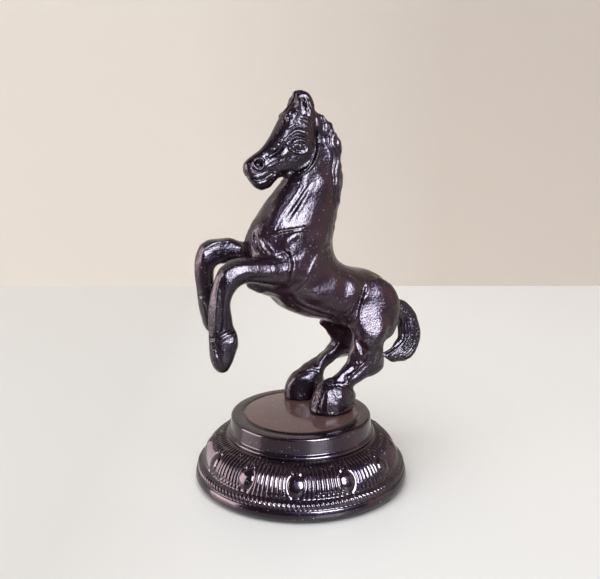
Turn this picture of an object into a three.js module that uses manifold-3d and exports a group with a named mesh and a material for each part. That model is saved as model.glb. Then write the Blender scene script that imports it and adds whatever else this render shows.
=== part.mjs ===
// A rearing horse figurine, cast in lacquered metal, on a round moulded base.
// Millimetres. +Z is up, the horse faces -X and its left side is -Y.
// The origin is the centre of the underside of the felt pad, where the figurine rests.
import * as THREE from "three";
import { mergeVertices } from "three/addons/utils/BufferGeometryUtils.js";
import Module from "manifold-3d";

const wasm = await Module();
wasm.setup();

// Base: the skirt, from its bead and rope edge up to the top of its fluted band
const rimRadius = 42.0;
const rimUndercut = 2.2;           // the bead's foot lies this far in
const rimFootLift = 0.3;           // from the felt's underside to the metal
const rimHeight = 5.2;             // the bead's top, from the felt's underside
const rimBulge = 1.3;
const ropeInset = 1.4;             // from the bead to the rope edge
const ropeHeight = 2.4;
const ropeBulge = 0.7;
const fluteInset = 3.8;            // from the bead to the foot of the fluted band
const fluteHeight = 11.2;
const fluteBulge = 2.6;            // how far the band swells past a straight cone
const fluteShelf = 1.2;            // the band's top stands this far outside the drum
const skirtWall = 2.4;
const skirtPlate = 3.0;
const fillet = 0.5;                // small steps and roundings of the mouldings

// Base: the drum on the skirt
const drumFootRadius = 28.4;
const drumTaper = 1.7;
const drumHeight = 7.8;
const drumWall = 2.4;
const discInset = 4.3;             // from the drum's edge to the raised disc that the horse stands on
const discHeight = 0.5;
const discSlope = 0.6;

// Base: the felt in its rebate
const feltInset = 1.8;             // from the bead's foot to the felt's edge
const feltThickness = 1.0;
const feltGap = 0.3;
const feltSeat = 2.0;              // the ring of metal that the felt is glued to

// Horse: where it stands on the base
const midPlaneY = 5.0;             // the horse's middle plane, off the base's centre
const hindSpread = 9.8;            // from the middle plane to each hind leg
const foreSpread = 9.2;            // from the middle plane to each foreleg
const earSpread = 2.6;             // from the middle plane to the root of each ear
const leftHoofX = 11.1;
const rightHoofX = 9.4;
const hoofLength = 18.4;
const hoofHalfWidth = 6.5;

// Horse: how the castings join
const bodyWall = 2.2;
const jointGap = 0.3;
const spigotRadius = 2.2;
const spigotLength = 5.0;
const bossWall = 1.6;

// Screws that hold the hind hooves down on the base
const screwRadius = 2.0;
const screwHeadRadius = 3.8;
const screwHeadHeight = 2.4;
const screwGap = 0.3;
const screwInHoof = 7.0;
const slotWidth = 1.0;
const slotDepth = 1.2;
const washerRadius = 4.8;
const washerThickness = 0.8;
const drumBossRadius = 5.0;

// Radii, heights and places that follow from the sizes above
const rimFootRadius = rimRadius - rimUndercut;
const feltRadius = rimFootRadius - feltInset;
const ropeRadius = rimRadius - ropeInset;
const fluteFootRadius = rimRadius - fluteInset;
const fluteTopRadius = drumFootRadius + fluteShelf;
const drumTopRadius = drumFootRadius - drumTaper;
const discRadius = drumTopRadius - discInset;
const ropeTop = rimHeight + ropeHeight;
const skirtTop = ropeTop + fluteHeight;
const drumTop = skirtTop + drumHeight;
const standingLevel = drumTop + discHeight;
const plateUnderside = skirtTop - skirtPlate;
const screwPlaces = {
  left: [leftHoofX, midPlaneY - hindSpread],
  right: [rightHoofX, midPlaneY + hindSpread],
};
const overcut = 1.0;               // a cutting tool runs this far past the faces that it opens

// Finishes
const lacquer = () => new THREE.MeshStandardMaterial({ color: 0x1d1519, roughness: 0.22, metalness: 0.85 });
const steel = () => new THREE.MeshStandardMaterial({ color: 0x9a9c9f, roughness: 0.35, metalness: 1.0 });
const felt = () => new THREE.MeshStandardMaterial({ color: 0x16181a, roughness: 0.95, metalness: 0.0 });

// Makes a closed geometry a solid, with its faces turned outward.
function toSolid(geometry) {
  const bare = geometry.clone();
  bare.deleteAttribute("normal");
  bare.deleteAttribute("uv");
  const merged = mergeVertices(bare, 1e-4);
  const { array } = merged.attributes.position;
  const order = merged.index.array;
  const corner = (i) => new THREE.Vector3().fromArray(array, 3 * order[i]);
  let volume = 0;
  for (let i = 0; i < order.length; i += 3) {
    volume += corner(i).dot(corner(i + 1).cross(corner(i + 2)));
  }
  const turn = volume < 0 ? [0, 2, 1] : [0, 1, 2];
  const triangles = order.map((_, i) => order[i - (i % 3) + turn[i % 3]]);
  return new wasm.Manifold(new wasm.Mesh({
    numProp: 3,
    vertProperties: new Float32Array(array),
    triVerts: new Uint32Array(triangles),
  }));
}

function toGeometry(solid) {
  const mesh = solid.getMesh();
  const geometry = new THREE.BufferGeometry();
  geometry.setAttribute("position", new THREE.BufferAttribute(mesh.vertProperties, 3));
  geometry.setIndex(new THREE.BufferAttribute(mesh.triVerts, 1));
  geometry.computeVertexNormals();
  return geometry;
}

function box(low, high) {
  const [width, depth, height] = high.map((value, axis) => value - low[axis]);
  const geometry = new THREE.BoxGeometry(width, depth, height);
  geometry.translate(low[0] + width / 2, low[1] + depth / 2, low[2] + height / 2);
  return toSolid(geometry);
}

function rod(from, to, radius, segments = 20) {
  const axis = new THREE.Vector3().subVectors(to, from);
  const upright = new THREE.Vector3(0, 1, 0);
  const geometry = new THREE.CylinderGeometry(radius, radius, axis.length(), segments);
  geometry.translate(0, axis.length() / 2, 0);
  geometry.applyQuaternion(new THREE.Quaternion().setFromUnitVectors(upright, axis.normalize()));
  geometry.translate(from.x, from.y, from.z);
  return toSolid(geometry);
}

function post([x, y], low, high, radius, segments) {
  return rod(new THREE.Vector3(x, y, low), new THREE.Vector3(x, y, high), radius, segments);
}

function turned(profile, segments = 48) {
  const points = profile.map(([radius, z]) => new THREE.Vector2(radius, z));
  const geometry = new THREE.LatheGeometry(points, segments);
  geometry.rotateX(Math.PI / 2);
  return toSolid(geometry);
}

// Points of an arc that bulges outward by `bulge` between two points of a turned profile.
function arc([startRadius, startZ], [endRadius, endZ], bulge, steps) {
  const chord = Math.hypot(endRadius - startRadius, endZ - startZ);
  const normal = [(endZ - startZ) / chord, -(endRadius - startRadius) / chord];
  return Array.from({ length: steps + 1 }, (_, i) => {
    const share = i / steps;
    const rise = bulge * Math.sin(Math.PI * share);
    return [
      THREE.MathUtils.lerp(startRadius, endRadius, share) + rise * normal[0],
      THREE.MathUtils.lerp(startZ, endZ, share) + rise * normal[1],
    ];
  });
}

// A form of the horse is drawn through stations, each a section of it. A station runs from a front point to a
// back point in the side view (x, z), and has a half width and a place across the horse (y, 0 if left out).
// `from` and `to` pick a run of stations out of a longer form, and `swell` makes it fatter all round.
function lofted(stations, { from = 0, to = stations.length - 1, around = 18, between = 2, swell = 0 } = {}) {
  const curve = (pick) => new THREE.CatmullRomCurve3(stations.map((s) => new THREE.Vector3(...pick(s))));
  const fronts = curve(([x, z]) => [x, 0, z]);
  const backs = curve(([, , x, z]) => [x, 0, z]);
  const across = curve(([, , , , halfWidth, y]) => [halfWidth, y ?? 0, 0]);
  const geometry = new THREE.CylinderGeometry(1, 1, 1, around, between * (to - from));
  const position = geometry.attributes.position;
  for (let i = 0; i < position.count; i++) {
    const along = THREE.MathUtils.clamp(0.5 - position.getY(i), 0, 1);
    const share = (from + along * (to - from)) / (stations.length - 1);
    const front = fronts.getPoint(share);
    const back = backs.getPoint(share);
    const { x: halfWidth, y } = across.getPoint(share);
    const half = new THREE.Vector3().subVectors(back, front).multiplyScalar(0.5);
    const centre = new THREE.Vector3().addVectors(front, back).multiplyScalar(0.5);
    half.setLength(half.length() + swell);
    centre.addScaledVector(half, position.getZ(i));
    position.setXYZ(i, centre.x, y + (halfWidth + swell) * position.getX(i), centre.z);
  }
  return toSolid(geometry);
}

const union = (solids) => solids.reduce((whole, solid) => whole.add(solid));

// Sets a form off to one side of the horse: -1 is its left, +1 its right.
function onSide(stations, side, spread) {
  return stations.map((s) => [...s.slice(0, 5), side * (spread + (s[5] ?? 0))]);
}

// The horse's forms, measured from the face it stands on and from its middle plane.
const trunk = [
  [-1.5, 95.5, 14.0, 109.5, 3.6],
  [-4.6, 90.8, 18.0, 103.5, 6.4],
  [-8.8, 86.0, 19.4, 95.0, 7.6],
  [-13.4, 81.4, 19.2, 86.0, 8.8],
  [-17.2, 76.0, 17.3, 77.5, 10.4],
  [-19.5, 69.5, 15.4, 69.8, 12.2],
  [-20.2, 61.0, 15.6, 63.0, 13.2],
  [-19.2, 52.6, 18.0, 58.8, 13.4],
  [-13.8, 47.6, 23.2, 55.8, 13.4],
  [-6.6, 42.6, 28.4, 54.2, 13.6],
  [1.2, 38.6, 33.6, 52.0, 13.4],
  [9.4, 35.8, 38.4, 48.8, 12.8],
  [17.0, 33.0, 42.6, 44.9, 12.2],
  [23.0, 30.0, 45.2, 40.0, 11.2],
  [29.0, 27.4, 45.4, 33.8, 9.2],
  [34.4, 26.0, 42.0, 28.4, 5.4],
];
const cavity = trunk.slice(1, 13).map(([frontX, frontZ, backX, backZ, halfWidth]) => {
  const front = new THREE.Vector2(frontX, frontZ);
  const back = new THREE.Vector2(backX, backZ);
  const inward = new THREE.Vector2().subVectors(back, front).setLength(bodyWall);
  front.add(inward);
  back.sub(inward);
  return [front.x, front.y, back.x, back.y, halfWidth - bodyWall];
});
const head = [
  [-18.2, 90.4, -20.6, 95.0, 1.6],
  [-16.6, 89.2, -20.9, 97.4, 3.0],
  [-13.8, 88.6, -18.6, 99.9, 3.6],
  [-10.2, 90.8, -14.0, 102.8, 3.7],
  [-6.4, 92.6, -11.0, 106.0, 4.3],
  [-1.8, 94.0, -8.4, 109.8, 5.6],
  [3.2, 95.6, -6.0, 114.0, 6.3],
  [6.4, 99.4, -3.4, 117.6, 6.0],
  [7.6, 105.4, 0.6, 119.4, 5.0],
  [8.2, 111.0, 4.8, 117.4, 2.6],
];
const mane = [
  [1.0, 117.0, 8.8, 116.4, 2.2],
  [6.0, 110.0, 14.6, 111.4, 3.2],
  [9.0, 104.0, 18.4, 104.6, 3.6],
  [11.0, 96.0, 20.0, 96.0, 3.4],
  [12.0, 88.0, 20.2, 87.6, 3.2],
  [11.0, 79.0, 17.6, 78.0, 2.8],
  [9.0, 70.0, 15.0, 68.6, 2.2],
];
const ear = [
  [-2.0, 114.6, 7.0, 116.2, 1.8],
  [-2.0, 118.6, 6.8, 119.4, 2.1, -0.4],
  [-0.8, 121.6, 5.2, 121.9, 1.6, -1.0],
  [0.6, 124.0, 2.6, 124.1, 0.7, -1.7],
];
const haunch = [
  [26.0, 50.2, 33.0, 51.4, 1.6, -1.8],
  [20.8, 45.0, 38.6, 47.8, 4.2, -1.4],
  [19.2, 38.0, 42.4, 42.0, 5.6, -1.4],
  [20.0, 33.0, 42.4, 34.8, 5.8, -1.2],
  [21.4, 29.8, 39.8, 28.8, 5.6, -0.8],
  [23.0, 28.4, 36.6, 25.4, 4.8, -0.4],
];
const shoulder = [
  [1.0, 72.6, 9.0, 71.0, 1.4, 0.6],
  [-7.6, 67.4, 6.4, 64.6, 3.2, 0.6],
  [-10.6, 60.6, 2.6, 57.2, 3.8, 0.6],
  [-9.0, 53.6, -2.0, 52.0, 2.6, 0.6],
];
const leftForeleg = [
  [-2.0, 53.0, -2.4, 62.0, 3.6],
  [-8.9, 52.2, -8.9, 64.4, 5.2],
  [-18.9, 54.4, -19.4, 64.1, 5.1],
  [-24.6, 55.7, -27.0, 64.8, 5.0],
  [-28.8, 54.0, -34.2, 61.9, 4.8],
  [-30.7, 50.2, -37.3, 54.6, 4.4],
  [-30.9, 45.4, -38.9, 46.8, 3.9],
  [-30.1, 39.4, -39.2, 39.6, 3.9],
  [-28.5, 35.0, -39.3, 35.0, 4.4],
  [-28.7, 31.4, -39.1, 31.0, 4.9],
  [-29.9, 27.6, -38.4, 27.2, 4.5],
  [-31.8, 24.2, -37.1, 24.2, 3.2],
  [-33.7, 22.9, -35.5, 22.9, 1.0],
];
const rightForeleg = [
  [-2.0, 53.6, -2.4, 62.6, 3.6],
  [-8.9, 54.4, -8.9, 65.0, 5.0],
  [-20.0, 60.2, -21.0, 68.0, 4.6],
  [-25.4, 61.6, -27.2, 69.0, 4.3],
  [-29.2, 60.2, -34.8, 67.0, 4.2],
  [-30.3, 56.6, -37.3, 60.4, 4.0],
  [-30.3, 51.6, -36.9, 52.4, 3.7],
  [-28.9, 47.8, -36.5, 47.8, 4.1],
  [-28.4, 44.0, -36.1, 43.8, 4.6],
  [-28.9, 39.4, -35.1, 39.4, 4.2],
  [-30.0, 34.8, -33.7, 34.8, 2.9],
  [-31.1, 33.2, -32.4, 33.2, 1.0],
];
const hoofHalf = hoofLength / 2;
const leftHindleg = [
  [23.4, 38.6, 38.6, 34.6, 4.6],
  [21.4, 32.0, 35.8, 24.2, 5.8],
  [20.6, 26.4, 34.8, 19.2, 5.2],
  [19.3, 22.2, 34.2, 14.8, 4.6],
  [16.4, 18.6, 27.8, 12.1, 4.3],
  [12.6, 15.6, 22.2, 10.4, 4.4],
  [leftHoofX - 3.2, 12.4, leftHoofX + hoofHalf, 8.0, 5.2],
  [leftHoofX - 6.2, 9.6, leftHoofX + hoofHalf, 5.4, 6.0],
  [leftHoofX - 8.4, 5.0, leftHoofX + hoofHalf, 2.6, hoofHalfWidth - 0.1],
  [leftHoofX - hoofHalf, 0, leftHoofX + hoofHalf, 0, hoofHalfWidth],
];
const rightHindleg = [
  [23.4, 39.6, 38.6, 34.6, 4.6],
  [21.4, 33.0, 36.4, 24.8, 5.6],
  [22.0, 27.0, 34.8, 19.4, 5.0],
  [22.4, 21.8, 33.6, 15.4, 4.5],
  [18.8, 17.6, 28.0, 12.8, 4.2],
  [14.0, 14.8, 22.0, 11.6, 4.3],
  [rightHoofX - 2.0, 12.2, rightHoofX + hoofHalf, 9.0, 5.1],
  [rightHoofX - 5.6, 9.6, rightHoofX + hoofHalf, 5.8, 5.9],
  [rightHoofX - 8.4, 5.4, rightHoofX + hoofHalf, 2.6, hoofHalfWidth - 0.1],
  [rightHoofX - hoofHalf, 0, rightHoofX + hoofHalf, 0, hoofHalfWidth],
];
const tail = [
  [38.0, 36.4, 38.6, 40.4, 2.4],
  [43.6, 33.6, 45.4, 39.4, 3.2],
  [48.0, 30.2, 53.0, 35.0, 3.8, 0.8],
  [48.0, 26.8, 57.0, 28.8, 4.2, 1.6],
  [47.8, 23.4, 57.8, 21.4, 4.2, 2.2],
  [46.4, 20.8, 55.4, 15.8, 3.9, 2.8],
  [44.4, 18.8, 50.2, 12.8, 3.1, 3.2],
  [41.4, 17.4, 43.6, 13.8, 1.8, 3.4],
];

// Each limb leaves the body at its joint station and has a spigot there, square to the joint.
const limbs = {
  foreleg_left: onSide(leftForeleg, -1, foreSpread),
  foreleg_right: onSide(rightForeleg, 1, foreSpread),
  hindleg_left: onSide(leftHindleg, -1, hindSpread),
  hindleg_right: onSide(rightHindleg, 1, hindSpread),
  tail: onSide(tail, -1, 0),
};
const jointStation = 1;

function jointOf(stations) {
  const middle = ([frontX, frontZ, backX, backZ, , y]) => (
    new THREE.Vector3((frontX + backX) / 2, y, (frontZ + backZ) / 2));
  const [frontX, frontZ, backX, backZ] = stations[jointStation];
  const at = middle(stations[jointStation]);
  const outward = new THREE.Vector3(frontZ - backZ, 0, backX - frontX).normalize();
  const next = middle(stations[jointStation + 1]).sub(at);
  if (outward.dot(next) < 0) {
    outward.negate();
  }
  return { at, outward };
}

const along = ({ at, outward }, distance) => at.clone().addScaledVector(outward, distance);

function makeLimb(stations) {
  const joint = jointOf(stations);
  const limb = lofted(stations, { from: jointStation });
  return limb.add(rod(along(joint, spigotRadius), along(joint, -spigotLength), spigotRadius));
}

function limbBoss(stations) {
  const joint = jointOf(stations);
  const radius = spigotRadius + jointGap + bossWall;
  return rod(along(joint, 0), along(joint, -spigotLength - jointGap - bossWall), radius);
}

// What a limb takes out of the body: room for the limb itself, for its spigot, and the gap round both.
function limbRoom(stations) {
  const joint = jointOf(stations);
  const room = lofted(stations, { from: jointStation, swell: jointGap });
  const set = joint.outward.clone().multiplyScalar(-jointGap);
  const socket = rod(
    along(joint, spigotRadius), along(joint, -spigotLength - jointGap), spigotRadius + jointGap);
  return union([room, room.translate(set.toArray()), socket]);
}

function makeBody() {
  const outside = union([
    lofted(trunk, { around: 26 }),
    lofted(head, { around: 20 }),
    lofted(mane, { around: 12 }),
    ...[-1, 1].flatMap((side) => [
      lofted(onSide(haunch, side, hindSpread)),
      lofted(onSide(shoulder, side, foreSpread), { around: 16 }),
      lofted(onSide(ear, side, earSpread), { around: 12 }),
    ]),
    ...Object.values(limbs).map((stations) => lofted(stations, { to: jointStation })),
  ]);
  const bosses = union(Object.values(limbs).map(limbBoss)).intersect(outside);
  const hollow = outside.subtract(lofted(cavity, { around: 12, between: 1 })).add(bosses);
  return hollow.subtract(union(Object.values(limbs).map(limbRoom)));
}

// The two halves of the body meet on the middle plane.
function bodyHalf(body, side) {
  const reach = 200;               // well past the horse on every side
  const [low, high] = side < 0 ? [-reach, 0] : [0, reach];
  return body.intersect(box([-reach, low, -reach], [reach, high, reach]));
}

// A hind leg has a blind hole up from its sole for the screw.
function withScrewHole(leg, side) {
  const [x, y] = screwPlaces[side];
  const hole = screwInHoof + screwGap;
  return leg.subtract(post([x, y - midPlaneY], -overcut, hole, screwRadius + screwGap, 24));
}

// The hole for a screw, from just below one level to just above another.
function screwHole(place, low, high) {
  return post(place, low - overcut, high + overcut, screwRadius + screwGap, 24);
}

function makeSkirt() {
  const places = Object.values(screwPlaces);
  const bead = arc([rimFootRadius + fillet, rimFootLift], [rimRadius - fillet, rimHeight], rimBulge, 4);
  const rope = arc([ropeRadius, rimHeight], [fluteFootRadius + fillet, ropeTop], ropeBulge, 3);
  const band = arc([fluteFootRadius, ropeTop], [fluteTopRadius, skirtTop - fillet], fluteBulge, 7);
  const bandInside = arc(
    [fluteTopRadius - skirtWall, plateUnderside], [fluteFootRadius - skirtWall, ropeTop], -fluteBulge, 4);
  const solid = turned([
    [feltRadius + feltGap, rimFootLift],
    ...bead,
    ...rope,
    ...band,
    [drumFootRadius + fillet, skirtTop],
    [0, skirtTop],
    [0, plateUnderside],
    ...bandInside,
    [feltRadius - feltSeat, feltThickness],
    [feltRadius + feltGap, feltThickness],
    [feltRadius + feltGap, rimFootLift],
  ], 56);
  return solid.subtract(union(places.map((place) => screwHole(place, plateUnderside, skirtTop))));
}

function makeDrum() {
  const places = Object.values(screwPlaces);
  const shell = turned([
    [0, standingLevel],
    [discRadius - discSlope, standingLevel],
    [discRadius, drumTop],
    [drumTopRadius - fillet, drumTop],
    [drumTopRadius, drumTop - fillet],
    [drumFootRadius, skirtTop],
    [drumFootRadius - drumWall, skirtTop],
    [drumTopRadius - drumWall, drumTop - drumWall],
    [0, drumTop - drumWall],
  ]);
  const bosses = places.map((place) => post(place, skirtTop, drumTop - drumWall / 2, drumBossRadius, 28));
  return union([shell, ...bosses])
    .subtract(union(places.map((place) => screwHole(place, skirtTop, standingLevel))));
}

function makeScrew([x, y]) {
  const place = [x, y];
  const seat = plateUnderside - washerThickness;
  const tip = standingLevel + screwInHoof;
  const shank = post(place, seat, tip, screwRadius, 24);
  const screwHead = post(place, seat - screwHeadHeight, seat, screwHeadRadius, 24);
  const slot = box(
    [x - screwHeadRadius - overcut, y - slotWidth / 2, seat - screwHeadHeight - overcut],
    [x + screwHeadRadius + overcut, y + slotWidth / 2, seat - screwHeadHeight + slotDepth]);
  return shank.add(screwHead).subtract(slot);
}

function makeWasher(place) {
  const underside = plateUnderside - washerThickness;
  return post(place, underside, plateUnderside, washerRadius, 24)
    .subtract(screwHole(place, underside, plateUnderside));
}

function makeFelt() {
  return turned([[0, 0], [feltRadius, 0], [feltRadius, feltThickness], [0, feltThickness]]);
}

function named(name, solid, material) {
  const mesh = new THREE.Mesh(toGeometry(solid), material);
  mesh.name = name;
  return mesh;
}

const body = makeBody();
const horse = new THREE.Group();
horse.position.set(0, midPlaneY, standingLevel);
horse.add(
  named("body_left_half", bodyHalf(body, -1), lacquer()),
  named("body_right_half", bodyHalf(body, 1), lacquer()),
  named("foreleg_left", makeLimb(limbs.foreleg_left), lacquer()),
  named("foreleg_right", makeLimb(limbs.foreleg_right), lacquer()),
  named("hindleg_left", withScrewHole(makeLimb(limbs.hindleg_left), "left"), lacquer()),
  named("hindleg_right", withScrewHole(makeLimb(limbs.hindleg_right), "right"), lacquer()),
  named("tail", makeLimb(limbs.tail), lacquer()),
);

const base = new THREE.Group();
base.add(
  named("base_drum", makeDrum(), lacquer()),
  named("base_skirt", makeSkirt(), lacquer()),
  named("felt_pad", makeFelt(), felt()),
);
for (const [side, place] of Object.entries(screwPlaces)) {
  base.add(
    named(`hoof_screw_${side}`, makeScrew(place), steel()),
    named(`washer_${side}`, makeWasher(place), steel()),
  );
}

const figurine = new THREE.Group();
figurine.add(horse, base);

export default figurine;
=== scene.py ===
import math
import bmesh
import bpy
import numpy as np
from mathutils import Matrix, Vector
from mathutils.bvhtree import BVHTree


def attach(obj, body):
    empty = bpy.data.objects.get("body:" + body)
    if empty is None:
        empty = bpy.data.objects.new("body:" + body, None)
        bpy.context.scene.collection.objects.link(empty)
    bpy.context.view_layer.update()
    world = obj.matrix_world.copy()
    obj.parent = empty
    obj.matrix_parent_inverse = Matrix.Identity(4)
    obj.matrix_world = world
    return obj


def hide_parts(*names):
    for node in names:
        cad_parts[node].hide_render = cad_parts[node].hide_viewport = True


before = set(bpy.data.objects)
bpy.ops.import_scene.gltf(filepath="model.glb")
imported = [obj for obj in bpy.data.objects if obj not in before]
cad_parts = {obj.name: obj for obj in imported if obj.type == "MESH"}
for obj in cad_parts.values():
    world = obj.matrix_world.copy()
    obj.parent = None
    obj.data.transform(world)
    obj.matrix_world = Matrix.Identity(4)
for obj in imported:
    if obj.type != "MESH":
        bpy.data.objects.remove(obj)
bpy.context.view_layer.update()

millimetre = 0.001  # the pieces are shaped in millimetres and made metres at the end
wholeTurn = 2 * math.pi


# Materials

class Wire:
    # a value, colour or vector on its way from one node to the next
    def __init__(self, shader, socket):
        self.shader = shader
        self.socket = socket

    def maths(self, operation, *others):
        return self.shader.node("ShaderNodeMath", {"operation": operation}, [self, *others])

    def __add__(self, other):
        return self.maths("ADD", other)

    def __mul__(self, other):
        return self.maths("MULTIPLY", other)

    __radd__ = __add__
    __rmul__ = __mul__


class Shader:
    def __init__(self, name):
        self.material = bpy.data.materials.new(name)
        self.material.use_nodes = True
        self.tree = self.material.node_tree
        self.tree.nodes.clear()

    def node(self, kind, settings=None, values=None, output=0):
        made = self.tree.nodes.new(kind)
        for setting, value in (settings or {}).items():
            setattr(made, setting, value)
        pairs = values.items() if isinstance(values, dict) else enumerate(values or [])
        for socket, value in pairs:
            if isinstance(value, Wire):
                self.tree.links.new(value.socket, made.inputs[socket])
            elif value is not None:
                made.inputs[socket].default_value = value
        return Wire(self, made.outputs[output])

    def place(self, perMillimetre):
        # the place on the piece, so that a pattern's scale is in cells to a millimetre
        spot = self.node("ShaderNodeTexCoord", output=3)
        return self.node("ShaderNodeVectorMath", {"operation": "SCALE"},
                         {0: spot, "Scale": perMillimetre / millimetre})

    def apart(self, middle):
        # the distance from a point, in millimetres
        return self.node("ShaderNodeVectorMath", {"operation": "DISTANCE"},
                         [self.place(1.0), middle], output=1)

    def noise(self, perMillimetre, detail=2.0, roughness=0.5):
        return self.node("ShaderNodeTexNoise", None, {
            "Vector": self.place(perMillimetre), "Scale": 1.0, "Detail": detail, "Roughness": roughness})

    def dots(self, perMillimetre, size, softness):
        # round spots, one to a cell, of which only some are large enough to show
        cells = {"Vector": self.place(perMillimetre), "Scale": 1.0}
        reach = self.node("ShaderNodeTexVoronoi", None, cells)
        luck = self.node("ShaderNodeTexVoronoi", None, cells, output=1)
        chance = self.node("ShaderNodeSeparateColor", None, [luck])
        return self.ramp(reach * (1.0 + 2.0 * chance), size, size + softness, falling=True)

    def ramp(self, value, low, high, falling=False):
        ends = {"From Min": low, "From Max": high, "To Min": float(falling), "To Max": float(not falling)}
        return self.node("ShaderNodeMapRange", {"clamp": True}, {"Value": value, **ends})

    def blend(self, mask, first, second):
        return self.node("ShaderNodeMix", {"data_type": "RGBA"}, {0: mask, 6: first, 7: second}, output=2)

    def bump(self, height, distance, below=None):
        return self.node("ShaderNodeBump", None, {
            "Height": height, "Distance": distance * millimetre, "Strength": 1.0, "Normal": below})

    def close(self, surface):
        # joins the last shader to the output node, which has no outputs of its own
        end = self.tree.nodes.new("ShaderNodeOutputMaterial")
        self.tree.links.new(surface.socket, end.inputs["Surface"])
        return self.material


lacquerLook = {
    "darkTint": (0.0036, 0.0015, 0.0026),
    "lightTint": (0.029, 0.0118, 0.0148),
    "cloudsPerMillimetre": 0.12,
    "cloudsFrom": (0.35, 0.68),
    "paintedWarmthMiddle": (14.0, 5.0, 78.0),    # painted warm light: the lacquer is painted brownest round here, on the trunk, where the room's warm light shows on it
    "paintedWarmthReach": (22.0, 46.0),
    "paintedWarmthShare": 0.65,
    "gloss": 0.045,
    "glossSpread": 0.07,                 # how much duller the worn spots are
    "wearPerMillimetre": 0.8,
    "tint": (1.0, 0.84, 0.88),           # what the lacquer does to all it mirrors
    "hazeTint": (0.075, 0.06, 0.13),     # the wide, violet sheen round each highlight
    "hazeRoughness": 0.34,
    "hazeShare": 0.058,
    "peelPerMillimetre": 0.42,
    "grainPerMillimetre": 1.5,
    "speckPerMillimetre": 0.8,
    "speckSize": 0.125,
    "speckSoftness": 0.05,
    "speckDepth": 0.05,
    "dust": (0.55, 0.52, 0.56),
    "dustShare": 0.85,
    "paintedReflection": (0.116, 0.066, 0.060),       # painted reflection: a paler, warmer colour on the base's disc, standing in for the warm wall mirrored in it
    "paintedReflectionFrom": (26.85, 27.05),
}


def makeLacquer(name, specular, peelDepth, grainDepth, paintedReflectionOnDisc=False):
    look = lacquerLook
    shader = Shader(name)
    cloudsAndPaintedWarmth = shader.ramp(shader.noise(look["cloudsPerMillimetre"], 3.0), *look["cloudsFrom"])
    # painted warm light: a patch round the trunk, where the room's warm light shows, is mixed into the random
    # tone
    paintedWarmth = shader.ramp(shader.apart(look["paintedWarmthMiddle"]), *look["paintedWarmthReach"], falling=True)
    cloudsAndPaintedWarmth = cloudsAndPaintedWarmth * (1 - look["paintedWarmthShare"]) + paintedWarmth * look["paintedWarmthShare"]
    specks = shader.dots(look["speckPerMillimetre"], look["speckSize"], look["speckSoftness"])
    colour = shader.blend(cloudsAndPaintedWarmth, (*look["darkTint"], 1), (*look["lightTint"], 1))
    # painted reflection: above the disc's height the colour turns paler and warmer, for the wall mirrored in
    # the disc
    if paintedReflectionOnDisc:
        height = shader.node("ShaderNodeSeparateXYZ", None, [shader.place(1.0)], output=2)
        colour = shader.blend(shader.ramp(height, *look["paintedReflectionFrom"]), colour, (*look["paintedReflection"], 1))
    peel = shader.bump(shader.noise(look["peelPerMillimetre"], 2.0), peelDepth)
    grain = shader.bump(shader.noise(look["grainPerMillimetre"], 3.0), grainDepth, peel)
    relief = shader.bump(specks, look["speckDepth"], grain)
    gloss = shader.node("ShaderNodeBsdfPrincipled", None, {
        "Base Color": shader.blend(specks * look["dustShare"], colour, (*look["dust"], 1)),
        "Roughness": look["gloss"] + look["glossSpread"] * shader.noise(look["wearPerMillimetre"], 3.0),
        "Specular IOR Level": specular,
        "Specular Tint": (*look["tint"], 1),
        "Normal": relief,
    })
    haze = shader.node("ShaderNodeBsdfPrincipled", None, {
        "Base Color": (*look["hazeTint"], 1),
        "Metallic": 1.0,
        "Roughness": look["hazeRoughness"],
        "Normal": relief,
    })
    return shader.close(shader.node("ShaderNodeMixShader", None, [look["hazeShare"], gloss, haze]))


zincLook = {
    "tints": ((0.46, 0.47, 0.49, 1), (0.62, 0.63, 0.64, 1)),
    "grainPerMillimetre": 1.5,
    "gloss": 0.28,
    "glossSpread": 0.2,
    "pitsPerMillimetre": 3.0,
    "pitDepth": 0.006,
}


def makeZinc():
    look = zincLook
    shader = Shader("zinc plated steel")
    grain = shader.noise(look["grainPerMillimetre"], 3.0)
    return shader.close(shader.node("ShaderNodeBsdfPrincipled", None, {
        "Base Color": shader.blend(grain, *look["tints"]),
        "Metallic": 1.0,
        "Roughness": look["gloss"] + look["glossSpread"] * grain,
        "Normal": shader.bump(shader.noise(look["pitsPerMillimetre"], 2.0), look["pitDepth"]),
    }))


feltLook = {
    "tints": ((0.035, 0.038, 0.042, 1), (0.085, 0.088, 0.094, 1)),
    "fibresPerMillimetre": 5.0,
    "tuftsPerMillimetre": 0.9,
    "roughness": 0.96,
    "sheen": 0.4,
    "pileDepth": 0.12,
}


def makeFelt():
    look = feltLook
    shader = Shader("pressed felt")
    fibres = shader.noise(look["fibresPerMillimetre"], 4.0, 0.7)
    tufts = shader.noise(look["tuftsPerMillimetre"], 3.0)
    return shader.close(shader.node("ShaderNodeBsdfPrincipled", None, {
        "Base Color": shader.blend(fibres, *look["tints"]),
        "Roughness": look["roughness"],
        "Sheen Weight": look["sheen"],
        "Normal": shader.bump(fibres + tufts, look["pileDepth"]),
    }))


lacquer = makeLacquer("aubergine lacquer over cast metal", 0.31, 0.15, 0.17)
baseLacquer = makeLacquer("the same lacquer on the turned base", 0.50, 0.05, 0.028)
# this lacquer carries the painted reflection on the base's disc
drumLacquer = makeLacquer("the same lacquer with a painted reflection on its disc", 0.50, 0.05, 0.028, paintedReflectionOnDisc=True)
zinc = makeZinc()
felt = makeFelt()
print("materials made")


# Finishing a piece

def placed(name, data):
    thing = bpy.data.objects.new(name, data)
    bpy.context.scene.collection.objects.link(thing)
    return thing


def meshed(mesh):
    bm = bmesh.new()
    bm.from_mesh(mesh)
    return bm


def written(bm, mesh):
    bm.to_mesh(mesh)
    bm.free()
    return mesh


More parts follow.
